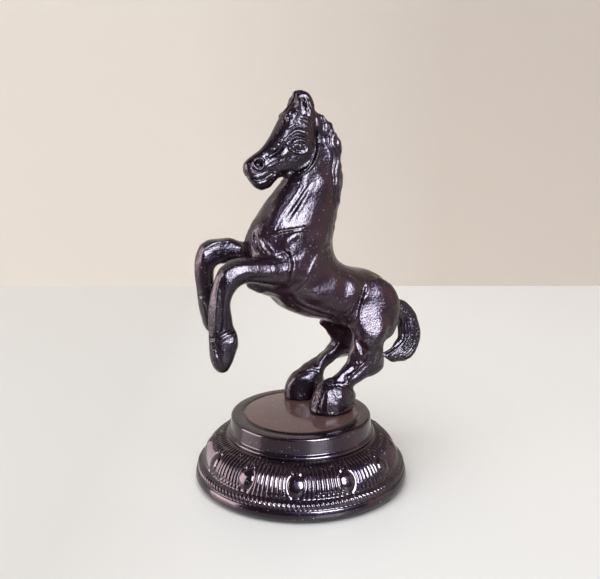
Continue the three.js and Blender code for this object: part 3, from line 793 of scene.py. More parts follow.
# strokes: a path, its width and height, and for some the taper of its ends and its raised borders
headLines = [
    # brow: two arched folds and the valley under them
    ([(-7, 0.6, 134.1), (-5.8, 0.5, 136.2), (-4.6, 0.4, 137.8), (-3.2, 0, 138.7), (-1.3, -0.3, 139.2)],
      0.34, 0.42),
    ([(-5.9, 0.2, 135.1), (-4.4, 0, 136.9), (-2.9, -0.2, 138), (-1, -0.5, 138.6)], 0.24, -0.34),
    ([(-6.3, 0.2, 134.1), (-4.8, 0, 136.2), (-3.3, -0.3, 137.4), (-1.4, -0.5, 138.3),
      (0.5, -0.8, 137.7), (1.8, -0.8, 137)], 0.36, 0.46),
    ([(-5.3, -0.2, 134.4), (-3.4, -0.5, 136.2), (-1.2, -0.9, 136.9), (1.7, -0.9, 135.9)], 0.7, -0.5),
    # fold above the lid, the lids and the eyeball
    ([(-6.4, 0.1, 133), (-5, -0.4, 133.9), (-3.6, -0.8, 135), (-2, -1, 135.6),
      (-0.3, -1.1, 135.1), (2.6, -0.8, 134.4)], 0.4, 0.5),
    ([(-5.4, -0.4, 132.6), (-4, -0.8, 133.8), (-2.1, -1.1, 134.5), (0.3, -1.2, 134),
      (2.6, -0.8, 133.2)], 0.32, -0.55),
    ([(-5, -0.7, 130), (-4.5, -0.8, 131.4), (-3.3, -1, 132.8), (-1.3, -1.2, 133.3),
      (0.8, -1.1, 132.7), (2.2, -0.7, 131.3)], 0.42, 0.6, 0.15),
    ([(-3.9, -0.9, 130.5), (-2.9, -1.1, 131.9), (-1.1, -1.2, 132.3), (0.7, -1, 131.6),
      (1.5, -0.9, 130.6)], 0.26, -0.5),
    ([(-1.1, -1.2, 130.9)], 1.3, 0.7),
    ([(-4.6, -0.8, 129.8), (-2.8, -0.9, 128.9), (-0.8, -1, 128.6), (1.2, -0.7, 129.1),
      (2.3, -0.5, 130.6)], 0.42, 0.55, 0.15),
    ([(-3.6, -1, 130), (-1.2, -1, 129.5), (1.2, -1, 130.1)], 0.24, -0.45),
    # cheekbone, the hollow above it and the line beneath it
    ([(-5.1, -0.6, 129.8), (-6.9, 0, 128.5), (-9, 0.8, 127.3), (-11.2, 1.2, 126),
      (-13.5, 1.5, 124.7)], 1.2, 0.5),
    ([(-6.9, 0, 131.2), (-8.9, 0.8, 129.4), (-11.4, 1.5, 127.9), (-13.3, 1.7, 126.6)], 0.8, -0.5),
    ([(-5.9, 0.3, 135.5), (-7.4, 0.6, 133.4), (-8.8, 1.1, 131.6), (-10.2, 1.5, 130),
      (-11.7, 1.8, 128.7)], 0.8, 0.5),
    ([(-13.2, 1.4, 124.1), (-11.4, 1.2, 125.1), (-8.9, 0.8, 126.2), (-6.8, 0.3, 127.1)], 0.3, -0.35),
    ([(-13.5, 1.4, 123.4), (-11.6, 1.2, 124.4), (-8.9, 0.8, 125.4), (-6.8, 0.3, 126.3)], 0.32, 0.3),
    # nostril
    ([(-18, 2, 123.9), (-18, 2.5, 125.3), (-16.9, 2.7, 126.3), (-15.6, 2.5, 126.8),
      (-14.5, 1.9, 126.1), (-14.4, 1.6, 124.9), (-15.1, 1.5, 123.6), (-16.5, 1.5, 123),
      (-18, 2, 123.9)], 0.42, 0.55, 0),
    ([(-16.7, 2.1, 125.2), (-15.8, 1.8, 124.8)], 0.75, -1.15, 0),
    ([(-16.6, 1.8, 123.9), (-15.9, 1.8, 124.1)], 0.28, 0.4, 0),
    ([(-12.9, 1.8, 127.1)], 0.55, 0.4),
    # mouth, lips and its corner
    ([(-19.8, 5.3, 120.6), (-19.2, 3.1, 119.7), (-17.4, 1.9, 119.4), (-15.1, 1.6, 119.8),
      (-12.6, 1.6, 120.8), (-10.6, 1.6, 121.7)], 0.3, -0.8, 0.2),
    ([(-19.4, 2.7, 120.6), (-17.1, 1.6, 120.5), (-14.7, 1.5, 121.1), (-12.3, 1.5, 122.1)], 0.34, 0.3),
    ([(-17.8, 2.7, 118.2), (-15.6, 2.2, 118), (-13.3, 2.1, 118.8), (-11.6, 2.2, 119.6)], 0.4, 0.4),
    ([(-11.6, 2.1, 119.8), (-10, 2.1, 120.6), (-9.3, 1.8, 121.5), (-10.4, 1.6, 121.9),
      (-11.6, 1.6, 121.6)], 0.3, 0.5),
    # edge of the jaw, round to the throat
    ([(-7, 1.5, 122.6), (-3.8, 1.4, 123), (0.5, 1.5, 123.2), (3, 0, 123.9), (5, -0.3, 125.3)],
      0.9, 0.3),
    ([(-2.7, 2.7, 119.9), (-1, 0.2, 119.6), (1, -0.7, 120.6), (3.3, -1, 122.5), (5.2, -0.7, 124.6),
      (6.5, -0.1, 126.7), (7.6, 0.7, 129.2), (8.9, 3, 132.7), (8.1, 2.6, 136.5), (7.5, 2.3, 140.9)],
      0.36, 0.42, 0.15),
    ([(-4.4, 2.4, 121.6), (-1.4, 1.2, 121.2), (0.6, 0.3, 121.8), (2.6, -0.2, 123.1), (4.5, -0.3, 125.2),
      (5.8, 0, 127.6), (6.8, 0.6, 130.2), (7.4, 1.4, 133.4), (7.2, 1.8, 137)], 0.42, -0.85, 0.15, 0.2),
    # forelock and the knotted folds at the foot of the ear
    ([(-4.2, 3, 142.9), (-4.6, 2.5, 141.8), (-4.4, 1.3, 140.3)], 0.4, 0.38),
    ([(-1.5, 1.4, 143.3), (-1.6, 0.7, 141.8)], 0.35, 0.35),
    ([(-2.9, 2.1, 143.3), (-3.5, 1.5, 141.9), (-3.2, 0.8, 140.6)], 0.3, -0.45),
    ([(0.8, 0.2, 141.6), (2, 0, 141.1), (3.4, 0, 140)], 0.3, 0.5),
    ([(-0.1, -0.1, 140.6), (1.1, -0.4, 139.9), (2.8, -0.4, 138.7)], 0.3, 0.5),
    ([(-0.3, -0.4, 139.3), (0.8, -0.6, 138.6), (1.8, -0.7, 137.3)], 0.28, 0.45),
    ([(0.3, 0.1, 141.1), (1.6, -0.2, 140.5), (3.1, -0.2, 139.3)], 0.18, -0.42),
    ([(-0.2, -0.2, 140), (1.1, -0.5, 139.1), (2.3, -0.6, 138)], 0.18, -0.42),
    ([(1.1, 0.4, 142.2), (2.7, 0.2, 141.4), (4.6, 0.7, 140.5)], 0.3, -0.6),
    # the ear's bowl, its front edge and the furrow down its side
    ([(-2.4, 3.4, 148.6), (-2.4, 2.6, 146.5), (-2.2, 2.2, 144.8)], 0.9, -0.5),
    ([(0.9, 2, 149.4), (1.1, 1, 146.8), (0.7, 0.4, 143.6)], 1.2, -0.9, 0.5),
    ([(-0.1, 2.4, 149), (-0.4, 1.5, 146.5), (-1, 1.4, 144.3)], 0.35, 0.45),
    ([(2.5, 1.5, 148.2), (3, 0.8, 146.1), (2.5, 0.4, 142.1)], 0.4, 0.4),
    ([(3.5, 1, 146.8), (3.5, 0.7, 144.3), (2.9, 0.2, 141.4)], 0.3, -0.4),
    ([(4.3, 0.9, 146.1), (4.2, 0.8, 143.6), (3.6, 0.3, 141.1)], 0.4, 0.4),
]

neckLines = [
    ([(2, -2.1, 117.5), (-1.5, -2.3, 113.6), (-5.3, -2.5, 109.8), (-9.4, -2.5, 106)], 1.4, 0.32),
    ([(4.3, -2.5, 117.8), (1.1, -3, 113.5), (-2.2, -3.7, 109), (-6.3, -4.5, 103.8)], 0.9, 0.34),
    ([(3, -2.4, 117.1), (-0.5, -2.8, 112.9), (-3.7, -3.3, 109.1), (-7.6, -3.7, 104.9)], 0.8, -0.5),
    ([(-3.7, 0.7, 116.9), (-2.4, -0.1, 117.4), (-1.2, -0.9, 117.5)], 0.4, 0.45),
    ([(-14.6, -2.9, 97.9), (-11.8, -4, 99.2), (-9, -4.9, 100), (-4.9, -5.8, 100.2),
      (0, -6, 100.7)], 0.42, -0.6, 0.3, 0.2),
    ([(-14.6, -2.9, 98.6), (-11.8, -4, 100.1), (-9, -4.9, 100.9), (-4.9, -5.8, 101.1),
      (0, -6, 101.7)], 0.5, 0.6, 0.2),
    # breast
    ([(-19, 3.5, 100.5), (-18.9, 2, 97.4), (-18.2, 0.4, 94.4), (-16.8, -1.6, 91.6)], 0.5, 0.5),
    ([(-18.6, 2, 100.4), (-18.2, 0.6, 97.4), (-17.4, -0.8, 94.6)], 0.35, -0.5),
    ([(-17.8, 1, 100), (-17.4, -0.4, 97.2), (-16.4, -1.8, 94.4), (-14.8, -3.4, 92)], 0.45, 0.45),
    ([(-16.6, -1, 98.6), (-15.8, -2.2, 96), (-14.4, -3.6, 93.4)], 0.4, -0.4),
    ([(-15.8, -1.8, 97.8), (-14.6, -3.2, 95.2), (-13.2, -4.4, 93)], 0.4, 0.35),
]

bodyLines = [
    # where the foreleg is joined on
    ([(-12.2, -5.4, 92.6), (-10.1, -6.3, 93.4), (-8.6, -7, 91.6), (-8.6, -8.4, 88.4),
      (-9.8, -9.3, 85), (-9, -8.2, 81)], 0.5, -0.95, 0.15, 0.3),
    ([(-9.9, -6.6, 91), (-9.9, -8.2, 88.6), (-10.9, -9.2, 86)], 0.8, 0.4),
    ([(-7.6, -8, 91.4), (-7.2, -8.6, 88), (-8, -9, 84)], 0.7, 0.4),
    # the fine line behind the shoulder blade
    ([(-6.5, -6.4, 77.9), (-3.6, -8, 81.2), (-1.2, -8.2, 85.6), (1.6, -7.8, 89.8), (5.8, -6.3, 92.6),
      (11.8, -2.4, 94.1)], 0.24, 0.34, 0.1),
    ([(-5.4, -6.8, 77.4), (-2.6, -8, 80.8), (-0.2, -8.2, 85.2), (2.4, -7.7, 89), (6.4, -6.2, 91.6)],
      0.3, -0.24, 0.15),
    # edge of the belly
    ([(-6.4, -6.2, 77.5), (-2.9, -5.3, 73.4), (3.3, -5.5, 70.2), (10, -5.3, 67.4), (13.6, -5.6, 66.6)],
      0.6, 0.5),
    ([(-6.8, -5.6, 75.6), (-3, -4.4, 71.6), (3, -4.6, 68.4), (10, -4.6, 65.4), (15, -4.6, 63.6)],
      0.9, -0.6),
    ([(-2.6, -3, 69.6), (4, -3, 66.6), (11, -3, 63.6), (17, -3.2, 60.6)], 0.5, 0.3),
    # the flank's two folds, which part from one point
    ([(25, -6, 76.6), (22.6, -7.4, 72.6), (20.6, -7.6, 68.6), (19.2, -6.6, 64.4)], 1.2, -0.8, 0.25),
    ([(25.7, -5.5, 77.4), (23, -7.5, 75), (20.6, -8.2, 72.2), (18.4, -7.7, 69.2), (16.8, -6, 65.8)],
      0.5, -0.95, 0.2),
    ([(24.9, -5.9, 77.4), (21.6, -7.8, 75), (19, -8.3, 72.2), (16.8, -7.7, 69.2), (15.2, -5.9, 66)],
      0.4, 0.4, 0.2),
    ([(25.4, -5.8, 76.6), (23.4, -7.5, 73.2), (21.9, -7.8, 69.6), (21.1, -7, 65.9), (20.8, -6.8, 62.8)],
      0.48, -1, 0.2),
    ([(26.1, -5.5, 77.1), (24.3, -7.5, 73.7), (22.8, -7.8, 70), (22, -7, 66.2), (21.7, -6.8, 63)],
      0.34, 0.55, 0.2),
    ([(26.9, -5.8, 76.6), (25.1, -7.6, 73.4), (23.6, -7.9, 69.8), (22.8, -7.4, 66), (22.6, -7.4, 63)],
      0.26, -0.35, 0.2),
    ([(20.4, -7.7, 70.4)], 0.6, 0.35),
    ([(18.6, -6.6, 67)], 0.6, 0.35),
    ([(16.6, -6.6, 67.4), (15.2, -6.4, 65.4), (12.6, -6, 64.2)], 0.5, -0.4),
    # deep fold before the gaskin
    ([(19.6, -5.4, 58.4), (21.2, -7, 55.2), (22.4, -8.3, 52.2), (23, -8.5, 50.2)], 0.9, -1.1, 0.3),
    ([(21.4, -6.6, 60), (24, -8.6, 56.4), (25.8, -9.2, 52.6)], 0.9, 0.4),
    ([(35, -7, 72), (36.6, -7.6, 65), (34.6, -8, 58)], 3, 0.3),
]

detailLines = [
    # groin, and the fold before the far thigh
    ([(12, -4.8, 66.1), (16, -3, 62.8), (19.8, 0, 59.9)], 0.45, 0.5),
    ([(21.1, -5.7, 58.7), (23.7, -9, 55.8)], 0.4, 0.45),
]

legLines = [
    # hock, tendon and shin of the hind legs
    ([(28.8, -9.9, 54), (30.6, -10, 50), (30, -9.6, 45.8), (27, -9, 43.2)], 0.9, 0.4),
    ([(27.4, -10.4, 52.6), (28, -10.4, 48.4), (26, -9.8, 45.6)], 0.9, -0.45),
    ([(25.6, -9.8, 49.6), (24, -9.4, 46.4), (19.6, -8.8, 43.6), (14.8, -9.2, 39.8)], 0.6, 0.5, 0.15),
    ([(26.4, -9.6, 46.6), (21, -8.8, 42.6), (16.4, -9, 39.4)], 0.6, -0.4),
]

nearLegLines = [
    ([(8, -6, 39.6), (8.7, -8, 39.4), (10.9, -8.9, 39.4), (12.8, -9.6, 38.9), (15.4, -9.9, 37.4),
      (18.6, -8.8, 35.2)], 0.5, -0.6, 0.15, 0.3),
    ([(9.6, -8.6, 38), (11.8, -9.6, 38), (13.6, -10, 37.2)], 0.6, 0.45),
    ([(5, -5.2, 36.6), (3.1, -5.3, 32.9), (2.1, -4.8, 28.9)], 0.6, 0.35),
    ([(6.2, -7.8, 36.5), (4.8, -8.2, 32.8), (4.2, -8.5, 29.2)], 0.5, -0.35),
    ([(7.6, -9, 36), (6.6, -9.6, 32.6), (6.2, -9.9, 29.2)], 0.5, 0.3),
    ([(10.9, -10.2, 34.6)], 2.8, 0.6),
    ([(2.2, -5.2, 28.6), (4, -8.5, 28.5), (8.2, -10.7, 28.2), (12.5, -11, 28.2), (17, -9.7, 28.4),
      (19.6, -6, 28.4)], 0.5, 0.4, 0.1),
    # near foreleg: elbow, knee, shin, coronet and hoof
    ([(-34.7, -6.3, 87.1), (-36.5, -6.7, 81.8), (-37.2, -7.1, 76.5), (-37.6, -7, 71.7),
      (-38, -6.8, 66.5)], 0.6, 0.4, 0.2),
    ([(-35.4, -7.6, 84), (-35.8, -8, 77), (-36.2, -8, 70), (-36.6, -7.8, 66.6)], 0.6, -0.35, 0.2),
    ([(-40.4, -3.4, 63.2), (-39.1, -5.2, 63.6), (-37.5, -7.2, 64.3), (-35.2, -8.2, 65.3),
      (-32.7, -7.8, 66), (-30.4, -6.1, 65.9)], 0.5, -0.75, 0.1, 0.3),
    ([(-38.6, -6.2, 62.6), (-37.6, -7.4, 58.6), (-36.6, -8.2, 55), (-36, -7.4, 52.4)],
      0.5, -0.5, 0.25, 0.3),
    ([(-33.6, -8.1, 63.4)], 2.2, 0.5),
    ([(-35.9, -8.2, 64.4)], 0.7, 0.3),
    ([(-14, -8.6, 84), (-20, -8.8, 85), (-26, -8.8, 85.4)], 0.9, -0.3),
]

# paths for the far legs are the mirrored ones of points on them
farLegLines = [
    ([(4.6, -2, 37.4), (5.8, -2.6, 38.2), (8.2, -1.6, 39.2), (11, -0.6, 39.4), (13.6, 0.4, 38.4)],
      0.5, -0.6, 0.15, 0.3),
    ([(-37.2, -3.8, 74.4), (-36.4, -3.5, 75.2), (-35.3, -1.2, 74.6), (-33.6, -0.2, 74.6),
      (-30.6, -0.6, 75.4)], 0.5, -0.7, 0.1, 0.3),
    ([(-36.4, -3.9, 88), (-36.4, -4.2, 83), (-35.6, -4, 78)], 0.6, 0.35),
    ([(-35.4, -1.6, 73), (-34.4, -1, 68), (-33.2, -1.4, 63.6)], 0.5, -0.4, 0.3, 0.3),
]


# what is carved where: the strokes, how much their heights count for, and their sides
strokeSets = [
    (headLines, 1.35, bothSides),
    (neckLines, 1.0, bothSides),
    (bodyLines, 1.2, bothSides),
    (detailLines, 1.0, bothSides),
    (legLines, 1.0, bothSides),
    (nearLegLines, 1.1, leftSide),
    (farLegLines, 1.0, rightSide),
]


def inHead(points):
    return (points[:, 2] > horse["headFrom"]) & (points[:, 0] < horse["headUpTo"])


def inMane(points):
    return (points[:, 2] > horse["maneFrom"]) & (points[:, 0] >= horse["headUpTo"])


mane = {
    "levels": [88, 98, 106, 114, 124, 134, 144],
    "fronts": [14.6, 13.0, 12.4, 12.2, 11.8, 10.2, 8.4],    # where the mane starts at each level
    "foot": 88,
    "footFade": 8,
    "edgeFade": 1.6,
    "crestShare": 0.35,      # what is left of the relief on the middle plane
    "lockDepth": 0.28,
    "hairDepth": 0.34,
    "lift": 0.06,
    # how fast the ridges follow each other backwards and sideways, and how much they sway
    "lockRhythm": (1.7, 1.3, 1.3),
    "hairRhythm": (2.7, 2.1, 1.9),
    # the sways down the crest: how wide, how long, how slanted and where they start
    "sways": ((0.8, 3.1, 0.9, 0), (0.5, 1.5, 0, 1.3)),
}


def ridges(rhythm, back, apart, sway):
    perBack, perApart, perSway = rhythm
    return np.cos(perBack * back + perApart * apart + perSway * sway)


def combMane(clay):
    # locks that run down the crest: wavy ridges, and finer hair on them
    x, y, z = clay.points.T
    across = y - horse["midPlaneY"]
    apart = np.abs(across)
    back = x - np.interp(z, mane["levels"], mane["fronts"])
    inside = climb(back, 0, mane["edgeFade"]) * climb(z, mane["foot"], mane["footFade"])
    edge = mane["crestShare"] + (1 - mane["crestShare"]) * climb(apart, 0, mane["edgeFade"])
    sway = sum(wide * np.sin(z / long + slant * across + start) for wide, long, slant, start in mane["sways"])
    locks = ridges(mane["lockRhythm"], back, apart, sway)
    hair = ridges(mane["hairRhythm"], back, apart, sway)
    rise = inside * edge * (mane["lockDepth"] * locks - mane["hairDepth"] * np.abs(hair) + mane["lift"])
    clay.points += rise[:, None] * clay.normals
    clay.turn()


earSlot = {"depth": 0.9, "width": 0.55, "foot": 142.5, "fade": 3.0}


def partEars(clay):
    # the slot between the two ears, on the middle plane
    x, y, z = clay.points.T
    across = np.abs(y - horse["midPlaneY"])
    depth = earSlot["depth"] * gauss(across / earSlot["width"]) * climb(z, earSlot["foot"], earSlot["fade"])
    clay.points -= depth[:, None] * clay.normals
    clay.turn()


def carve(clay):
    clay.refine(inHead)
    clay.refine(inMane)
    partEars(clay)
    for lines, strength, sides in strokeSets:
        clay.strokes(lines, strength, sides)
    for places, sides in ((flats, bothSides), (nearFlats, leftSide)):
        for centre, reach, facing in places:
            clay.flatten(centre, reach, horse["flatStrength"], facing, sides, settled=True)
    for strip in ribbons:
        clay.ribbon(*strip)
    clay.turn()
    combMane(clay)
    clay.smooth(1, keep=False)
    clay.turn()


clay = makeSkin()
print("horse skin has", len(clay.points), "points")
shapeForms(clay)
carve(clay)
print("horse sculpted,", len(clay.points), "points")


def ownersOf(clay):
    # the node that each point of the skin lies nearest to, with the seams evened out
    corners, faces, owners = [], [], []
    for number, node in enumerate(horse["nodes"]):
        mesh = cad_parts[node].data
        start = len(corners)
        corners += [vert.co / millimetre for vert in mesh.vertices]
        faces += [[start + index for index in face.vertices] for face in mesh.polygons]
        owners += [number] * len(mesh.polygons)
    solids = BVHTree.FromPolygons(corners, faces)
    nearest = np.array([owners[solids.find_nearest(point)[2]] for point in clay.points.tolist()])
    inBody = nearest < horse["halves"]
    nearest[inBody] = clay.points[inBody, 1] > horse["midPlaneY"]
    share = np.eye(len(horse["nodes"]))[nearest]
    for turn in range(horse["seamRounds"]):
        share = clay.spread(share)
    return share


def makeHorsePieces(clay):
    # the skin is cut along the castings' seams, and each cut is closed with a cap
    # a cap's face would double an edge of the skin that joins two points of its rim, so such edges are halved
    share = ownersOf(clay)
    whole = meshed(clay.mesh)
    whole.verts.ensure_lookup_table()
    number = whole.verts.layers.int.new("skinPoint")
    for vert in whole.verts:
        vert[number] = vert.index
    owners = share.argmax(1).tolist()
    owner = [min(owners[vert.index] for vert in face.verts) for face in whole.faces]
    for place, node in enumerate(horse["nodes"]):
        bm = whole.copy()
        others = [face for face, belongs in zip(bm.faces, owner) if belongs != place]
        bmesh.ops.delete(bm, geom=others, context="FACES")
        rim = [edge for edge in bm.edges if edge.is_boundary]
        ends = {vert for edge in rim for vert in edge.verts}
        spans = [edge for edge in bm.edges if not edge.is_boundary and ends.issuperset(edge.verts)]
        bmesh.ops.subdivide_edges(bm, edges=spans, cuts=1)
        caps = bmesh.ops.holes_fill(bm, edges=rim, sides=0)["faces"]
        caps = bmesh.ops.triangulate(bm, faces=caps)["faces"]
        bm.faces.index_update()
        capped = {face.index for face in caps}
        number = bm.verts.layers.int["skinPoint"]
        points = [vert[number] for vert in bm.verts]
        print(node, len(bm.faces), "faces,", len(caps), "in its caps,",
              sum(not edge.is_manifold for edge in bm.edges), "open edges")
        piece = toObject(node + "_cast", bm, lacquer)
        mesh = piece.data
        facing = [tuple(mesh.polygons[face.index].normal) if face.index in capped
                  else clay.normals[points[corner]]
                  for face in mesh.polygons for corner in face.vertices]
        mesh.normals_split_custom_set(np.array(facing).tolist())
        standIn(piece, "lacquered_metal", node)
    whole.free()


makeHorsePieces(clay)


# The tail

tail = {
    "voxel": 0.34,
    "smoothRounds": 8,
    # down the middle of the tail, from its root to the tip
    "middle": [(38.0, 3.0, 66.5), (43.0, 2.4, 64.6), (48.4, 2.0, 61.2), (51.8, 1.6, 56.2), (52.0, 1.0, 50.4),
               (48.8, 0.4, 45.6), (44.0, 0.0, 43.6), (39.0, -0.4, 43.0)],
    "strands": 15,
    "strandDepth": 0.75,
    "strandRound": 0.7,      # the lower, the rounder the strands and the sharper the furrows
    "strandLevel": 0.7,      # the part of a strand that stays where the surface was
    "twist": 0.9,            # turns of the strands from root to tip
    "swayDepth": 0.35,
    "swayRhythm": (17, 2),   # along the tail and round it
    "lockDepth": 0.14,
    "lockRhythm": (3, 1.6, 1.0),
    "rootFade": 0.1,
}


def combTail(clay):
    # strands along the tail, laid round its middle line and slowly twisted
    line = curved(np.array(tail["middle"]))
    apart = clay.apart(np.arange(len(clay.points)), line)
    near = apart.argmin(1)
    along = np.gradient(line, axis=0)
    along /= np.linalg.norm(along, axis=1)[:, None]
    sideways = np.cross(along, (0, 1, 0))
    sideways /= np.linalg.norm(sideways, axis=1)[:, None]
    upward = np.cross(sideways, along)
    away = clay.points - line[near]
    turn = np.arctan2((away * upward[near]).sum(1), (away * sideways[near]).sum(1))
    place = near / len(line)
    perLength, perTurn = tail["swayRhythm"]
    sway = wholeTurn * tail["twist"] * place + tail["swayDepth"] * np.sin(perLength * place + perTurn * turn)
    strands = np.abs(np.cos(0.5 * tail["strands"] * turn + sway)) ** tail["strandRound"] - tail["strandLevel"]
    locks = ridges(tail["lockRhythm"], turn, sway, 1)
    fade = climb(place, 0, tail["rootFade"])
    rise = fade * (tail["strandDepth"] * strands + tail["lockDepth"] * locks)
    clay.points += rise[:, None] * clay.normals
    clay.turn()


tailPulls = [
    ((49.5, 2.5, 64.0), 7.0, (0.5, 0, 0.75)),
    ((53.5, 1.5, 60.0), 5.0, (0.35, 0, 0.3)),
    ((52.5, -1.0, 47.3), 6.0, (-0.9, 0, 0.6)),
    ((45.0, 2.0, 48.0), 4.0, (-0.6, 0, 0.6)),
    ((41.0, -0.4, 44.5), 6.0, (-4.2, 0, 0.6)),      # the tip, in behind the hock
    ((43.0, -0.4, 41.5), 4.0, (0, 0, -0.6)),
    ((56.9, 0.8, 47.1), 6.0, (-0.7, 0, 0.1)),
    ((53.8, 0.2, 42.4), 6.0, (-0.5, 0, 0.5)),
    ((45.9, 3.9, 46.6), 4.0, (-0.4, 0, 0.4)),
    ((50.6, 4.6, 64.8), 5.0, (0.2, 0, 0.5)),
    ((57.5, 2.0, 55.0), 7.0, (-0.5, 0, 0)),
    ((47.8, -1.1, 42.1), 4.0, (0, 0, 0.45)),
]


def makeTail():
    clay = Clay(remeshed([swollenCopy("tail", 0.0)], tail["voxel"], "tail_skin"))
    clay.smooth(tail["smoothRounds"])
    for centre, reach, move in tailPulls:
        clay.pull(centre, reach, move, leftSide)
    clay.turn()
    combTail(clay)
    clay.smooth(1, keep=False)
    clay.turn()
    return clay


tailClay = makeTail()
print("tail combed,", len(tailClay.points), "points")
standIn(toObject("tail_skin", meshed(tailClay.mesh), lacquer), "lacquered_metal", "tail")


# The base

skirt = {
    "stepsPerMotif": 96,
    "motifs": 12,            # eggs round the band, each with its ring
    "ribsPerMotif": 10,
    "motifTurn": -89.8,      # degrees to the middle of the first egg
    "ribDepth": 0.44,
    "ribRound": 0.8,         # the lower, the rounder the ribs and the sharper the grooves between them
    "ribLevel": 0.55,        # the part of a rib that stays where the moulding was
    "eggHalfWidth": 2.9,
    "eggHalfHeight": 3.7,
    "eggRise": 0.55,
    "eggShare": 0.34,        # the egg's middle, from the band's foot to its top
    "eggGroove": (0.25, 1.12, 0.12),     # how deep, where and how wide, the last two in sizes of the egg
    "eggEdge": (1.05, 0.2),              # where the ribs begin again and over what length they rise
    "ringEdge": (2.2, 0.5),
    "endFades": (0.06, 0.05),            # the plain strips at the foot and at the top, in heights of the band
    "ringShare": 0.70,
    "ringRadius": 1.45,
    "ringRise": 0.45,
    "ringWidth": 0.42,
    "knobRise": 0.25,        # the bead in the middle of the ring
    "knobRadius": 0.5,
    "bandSpan": 14.2,        # from the band's foot to its top
    "bend": 1.1,             # how far the ribs give way to an egg, and over what width and height
    "bendFrom": 3.2,
    "bendReach": (2.6, 4.6),
    "ropeTurns": 144,
    "ropeDepth": 0.62,
    "ropeRound": 0.8,
    "ropeLevel": 0.6,
    "ropeSlant": 1.1,
    # each moulding's foot and top, as radius and height, its bulge, and its steps from foot to top
    "bead": ((40.3, 0.3), (41.5, 5.2), 1.22, 12),
    "rope": ((41.0, 5.2), (39.5, 8.2), 0.75, 9),
    "band": ((38.9, 8.2), (29.4, 18.3), 2.3, 34),
    "hollow": ((27.2, 15.8), (36.2, 7.6), -2.4, 5),     # the inside of the wall, from the top down
    "rim": (38.3, 0.3),      # the inner edge of the foot
    "recess": (36.0, 1.0),   # where the pad is glued in
    "top": (28.9, 18.8),
}

drum = {
    "steps": 192,
    "footRadius": 28.7,
    "topRadius": 27.55,
    "discRadius": 22.4,
    "seat": 18.8,            # the levels of its foot, its top and the disc
    "top": 26.7,
    "disc": 27.1,
    "wall": 2.4,
}

pad = {"radius": 38.0, "thickness": 1.0, "steps": 160}


def archPoints(start, end, bulge, steps):
    # a moulding's outline, bulging outward between two points
    span = math.dist(start, end)
    outward = ((end[1] - start[1]) / span, -(end[0] - start[0]) / span)
    made = []
    for step in range(steps + 1):
        share = step / steps
        rise = bulge * math.sin(math.pi * share)
        made.append((start[0] + (end[0] - start[0]) * share + rise * outward[0],
                     start[1] + (end[1] - start[1]) * share + rise * outward[1]))
    return made


def turned(profile, steps, angle=wholeTurn):
    # spins a closed outline, given as radius and height, round the upright axis
    bm = bmesh.new()
    verts = [bm.verts.new((radius, 0, z)) for radius, z in profile]
    edges = [bm.edges.new(pair) for pair in zip(verts, verts[1:])]
    bmesh.ops.spin(bm, geom=[*verts, *edges], cent=(0, 0, 0), axis=(0, 0, 1), angle=angle,
                   steps=steps, use_merge=angle == wholeTurn, use_normal_flip=False, use_duplicate=False)
    bmesh.ops.remove_doubles(bm, verts=bm.verts, dist=1e-4)
    bmesh.ops.recalc_face_normals(bm, faces=bm.faces)
    bm.normal_update()
    return bm


def bandRelief(turn, share, radius):
    # ribs all round, with an egg and a ring above it in each motif
    motif = wholeTurn / skirt["motifs"]
    cell = ((turn - math.radians(skirt["motifTurn"])) / motif + 0.5) % 1 - 0.5
    across = cell * radius * motif
    up = (share - skirt["eggShare"]) * skirt["bandSpan"]
    wide, high = skirt["bendReach"]
    bend = skirt["bend"] * gauss((np.abs(across) - skirt["bendFrom"]) / wide) * gauss(up / high)
    bent = across - np.sign(across) * bend
    ribs = np.abs(np.cos(math.pi * skirt["ribsPerMotif"] * bent / (radius * motif)))
    egg = np.hypot(across / skirt["eggHalfWidth"], up / skirt["eggHalfHeight"])
    ring = np.hypot(across, (share - skirt["ringShare"]) * skirt["bandSpan"])
    plain = climb(egg, *skirt["eggEdge"]) * climb(ring, *skirt["ringEdge"])
    footFade, topFade = skirt["endFades"]
    ends = climb(share, 0, footFade) * climb(1 - share, 0, topFade)
    deep, grooveAt, grooveWide = skirt["eggGroove"]
    rise = skirt["ribDepth"] * (ribs ** skirt["ribRound"] - skirt["ribLevel"]) * plain
    rise += skirt["eggRise"] * np.sqrt(np.clip(1 - egg ** 2, 0, 1))
    rise -= deep * gauss((egg - grooveAt) / grooveWide)
    rise += skirt["ringRise"] * gauss((ring - skirt["ringRadius"]) / skirt["ringWidth"])
    rise += skirt["knobRise"] * gauss(ring / skirt["knobRadius"])
    return rise * ends


def ropeRelief(turn, share, radius):
    # slanting strands, as many at any radius
    twist = np.abs(np.cos(0.5 * skirt["ropeTurns"] * turn + math.pi * skirt["ropeSlant"] * share))
    strands = twist ** skirt["ropeRound"] - skirt["ropeLevel"]
    return skirt["ropeDepth"] * strands * math.sin(math.pi * min(1, max(0, share)))


def keyOf(radius, z):
    # a place on the outline, by which its relief is found again
    return round(radius, 3), round(z, 3)


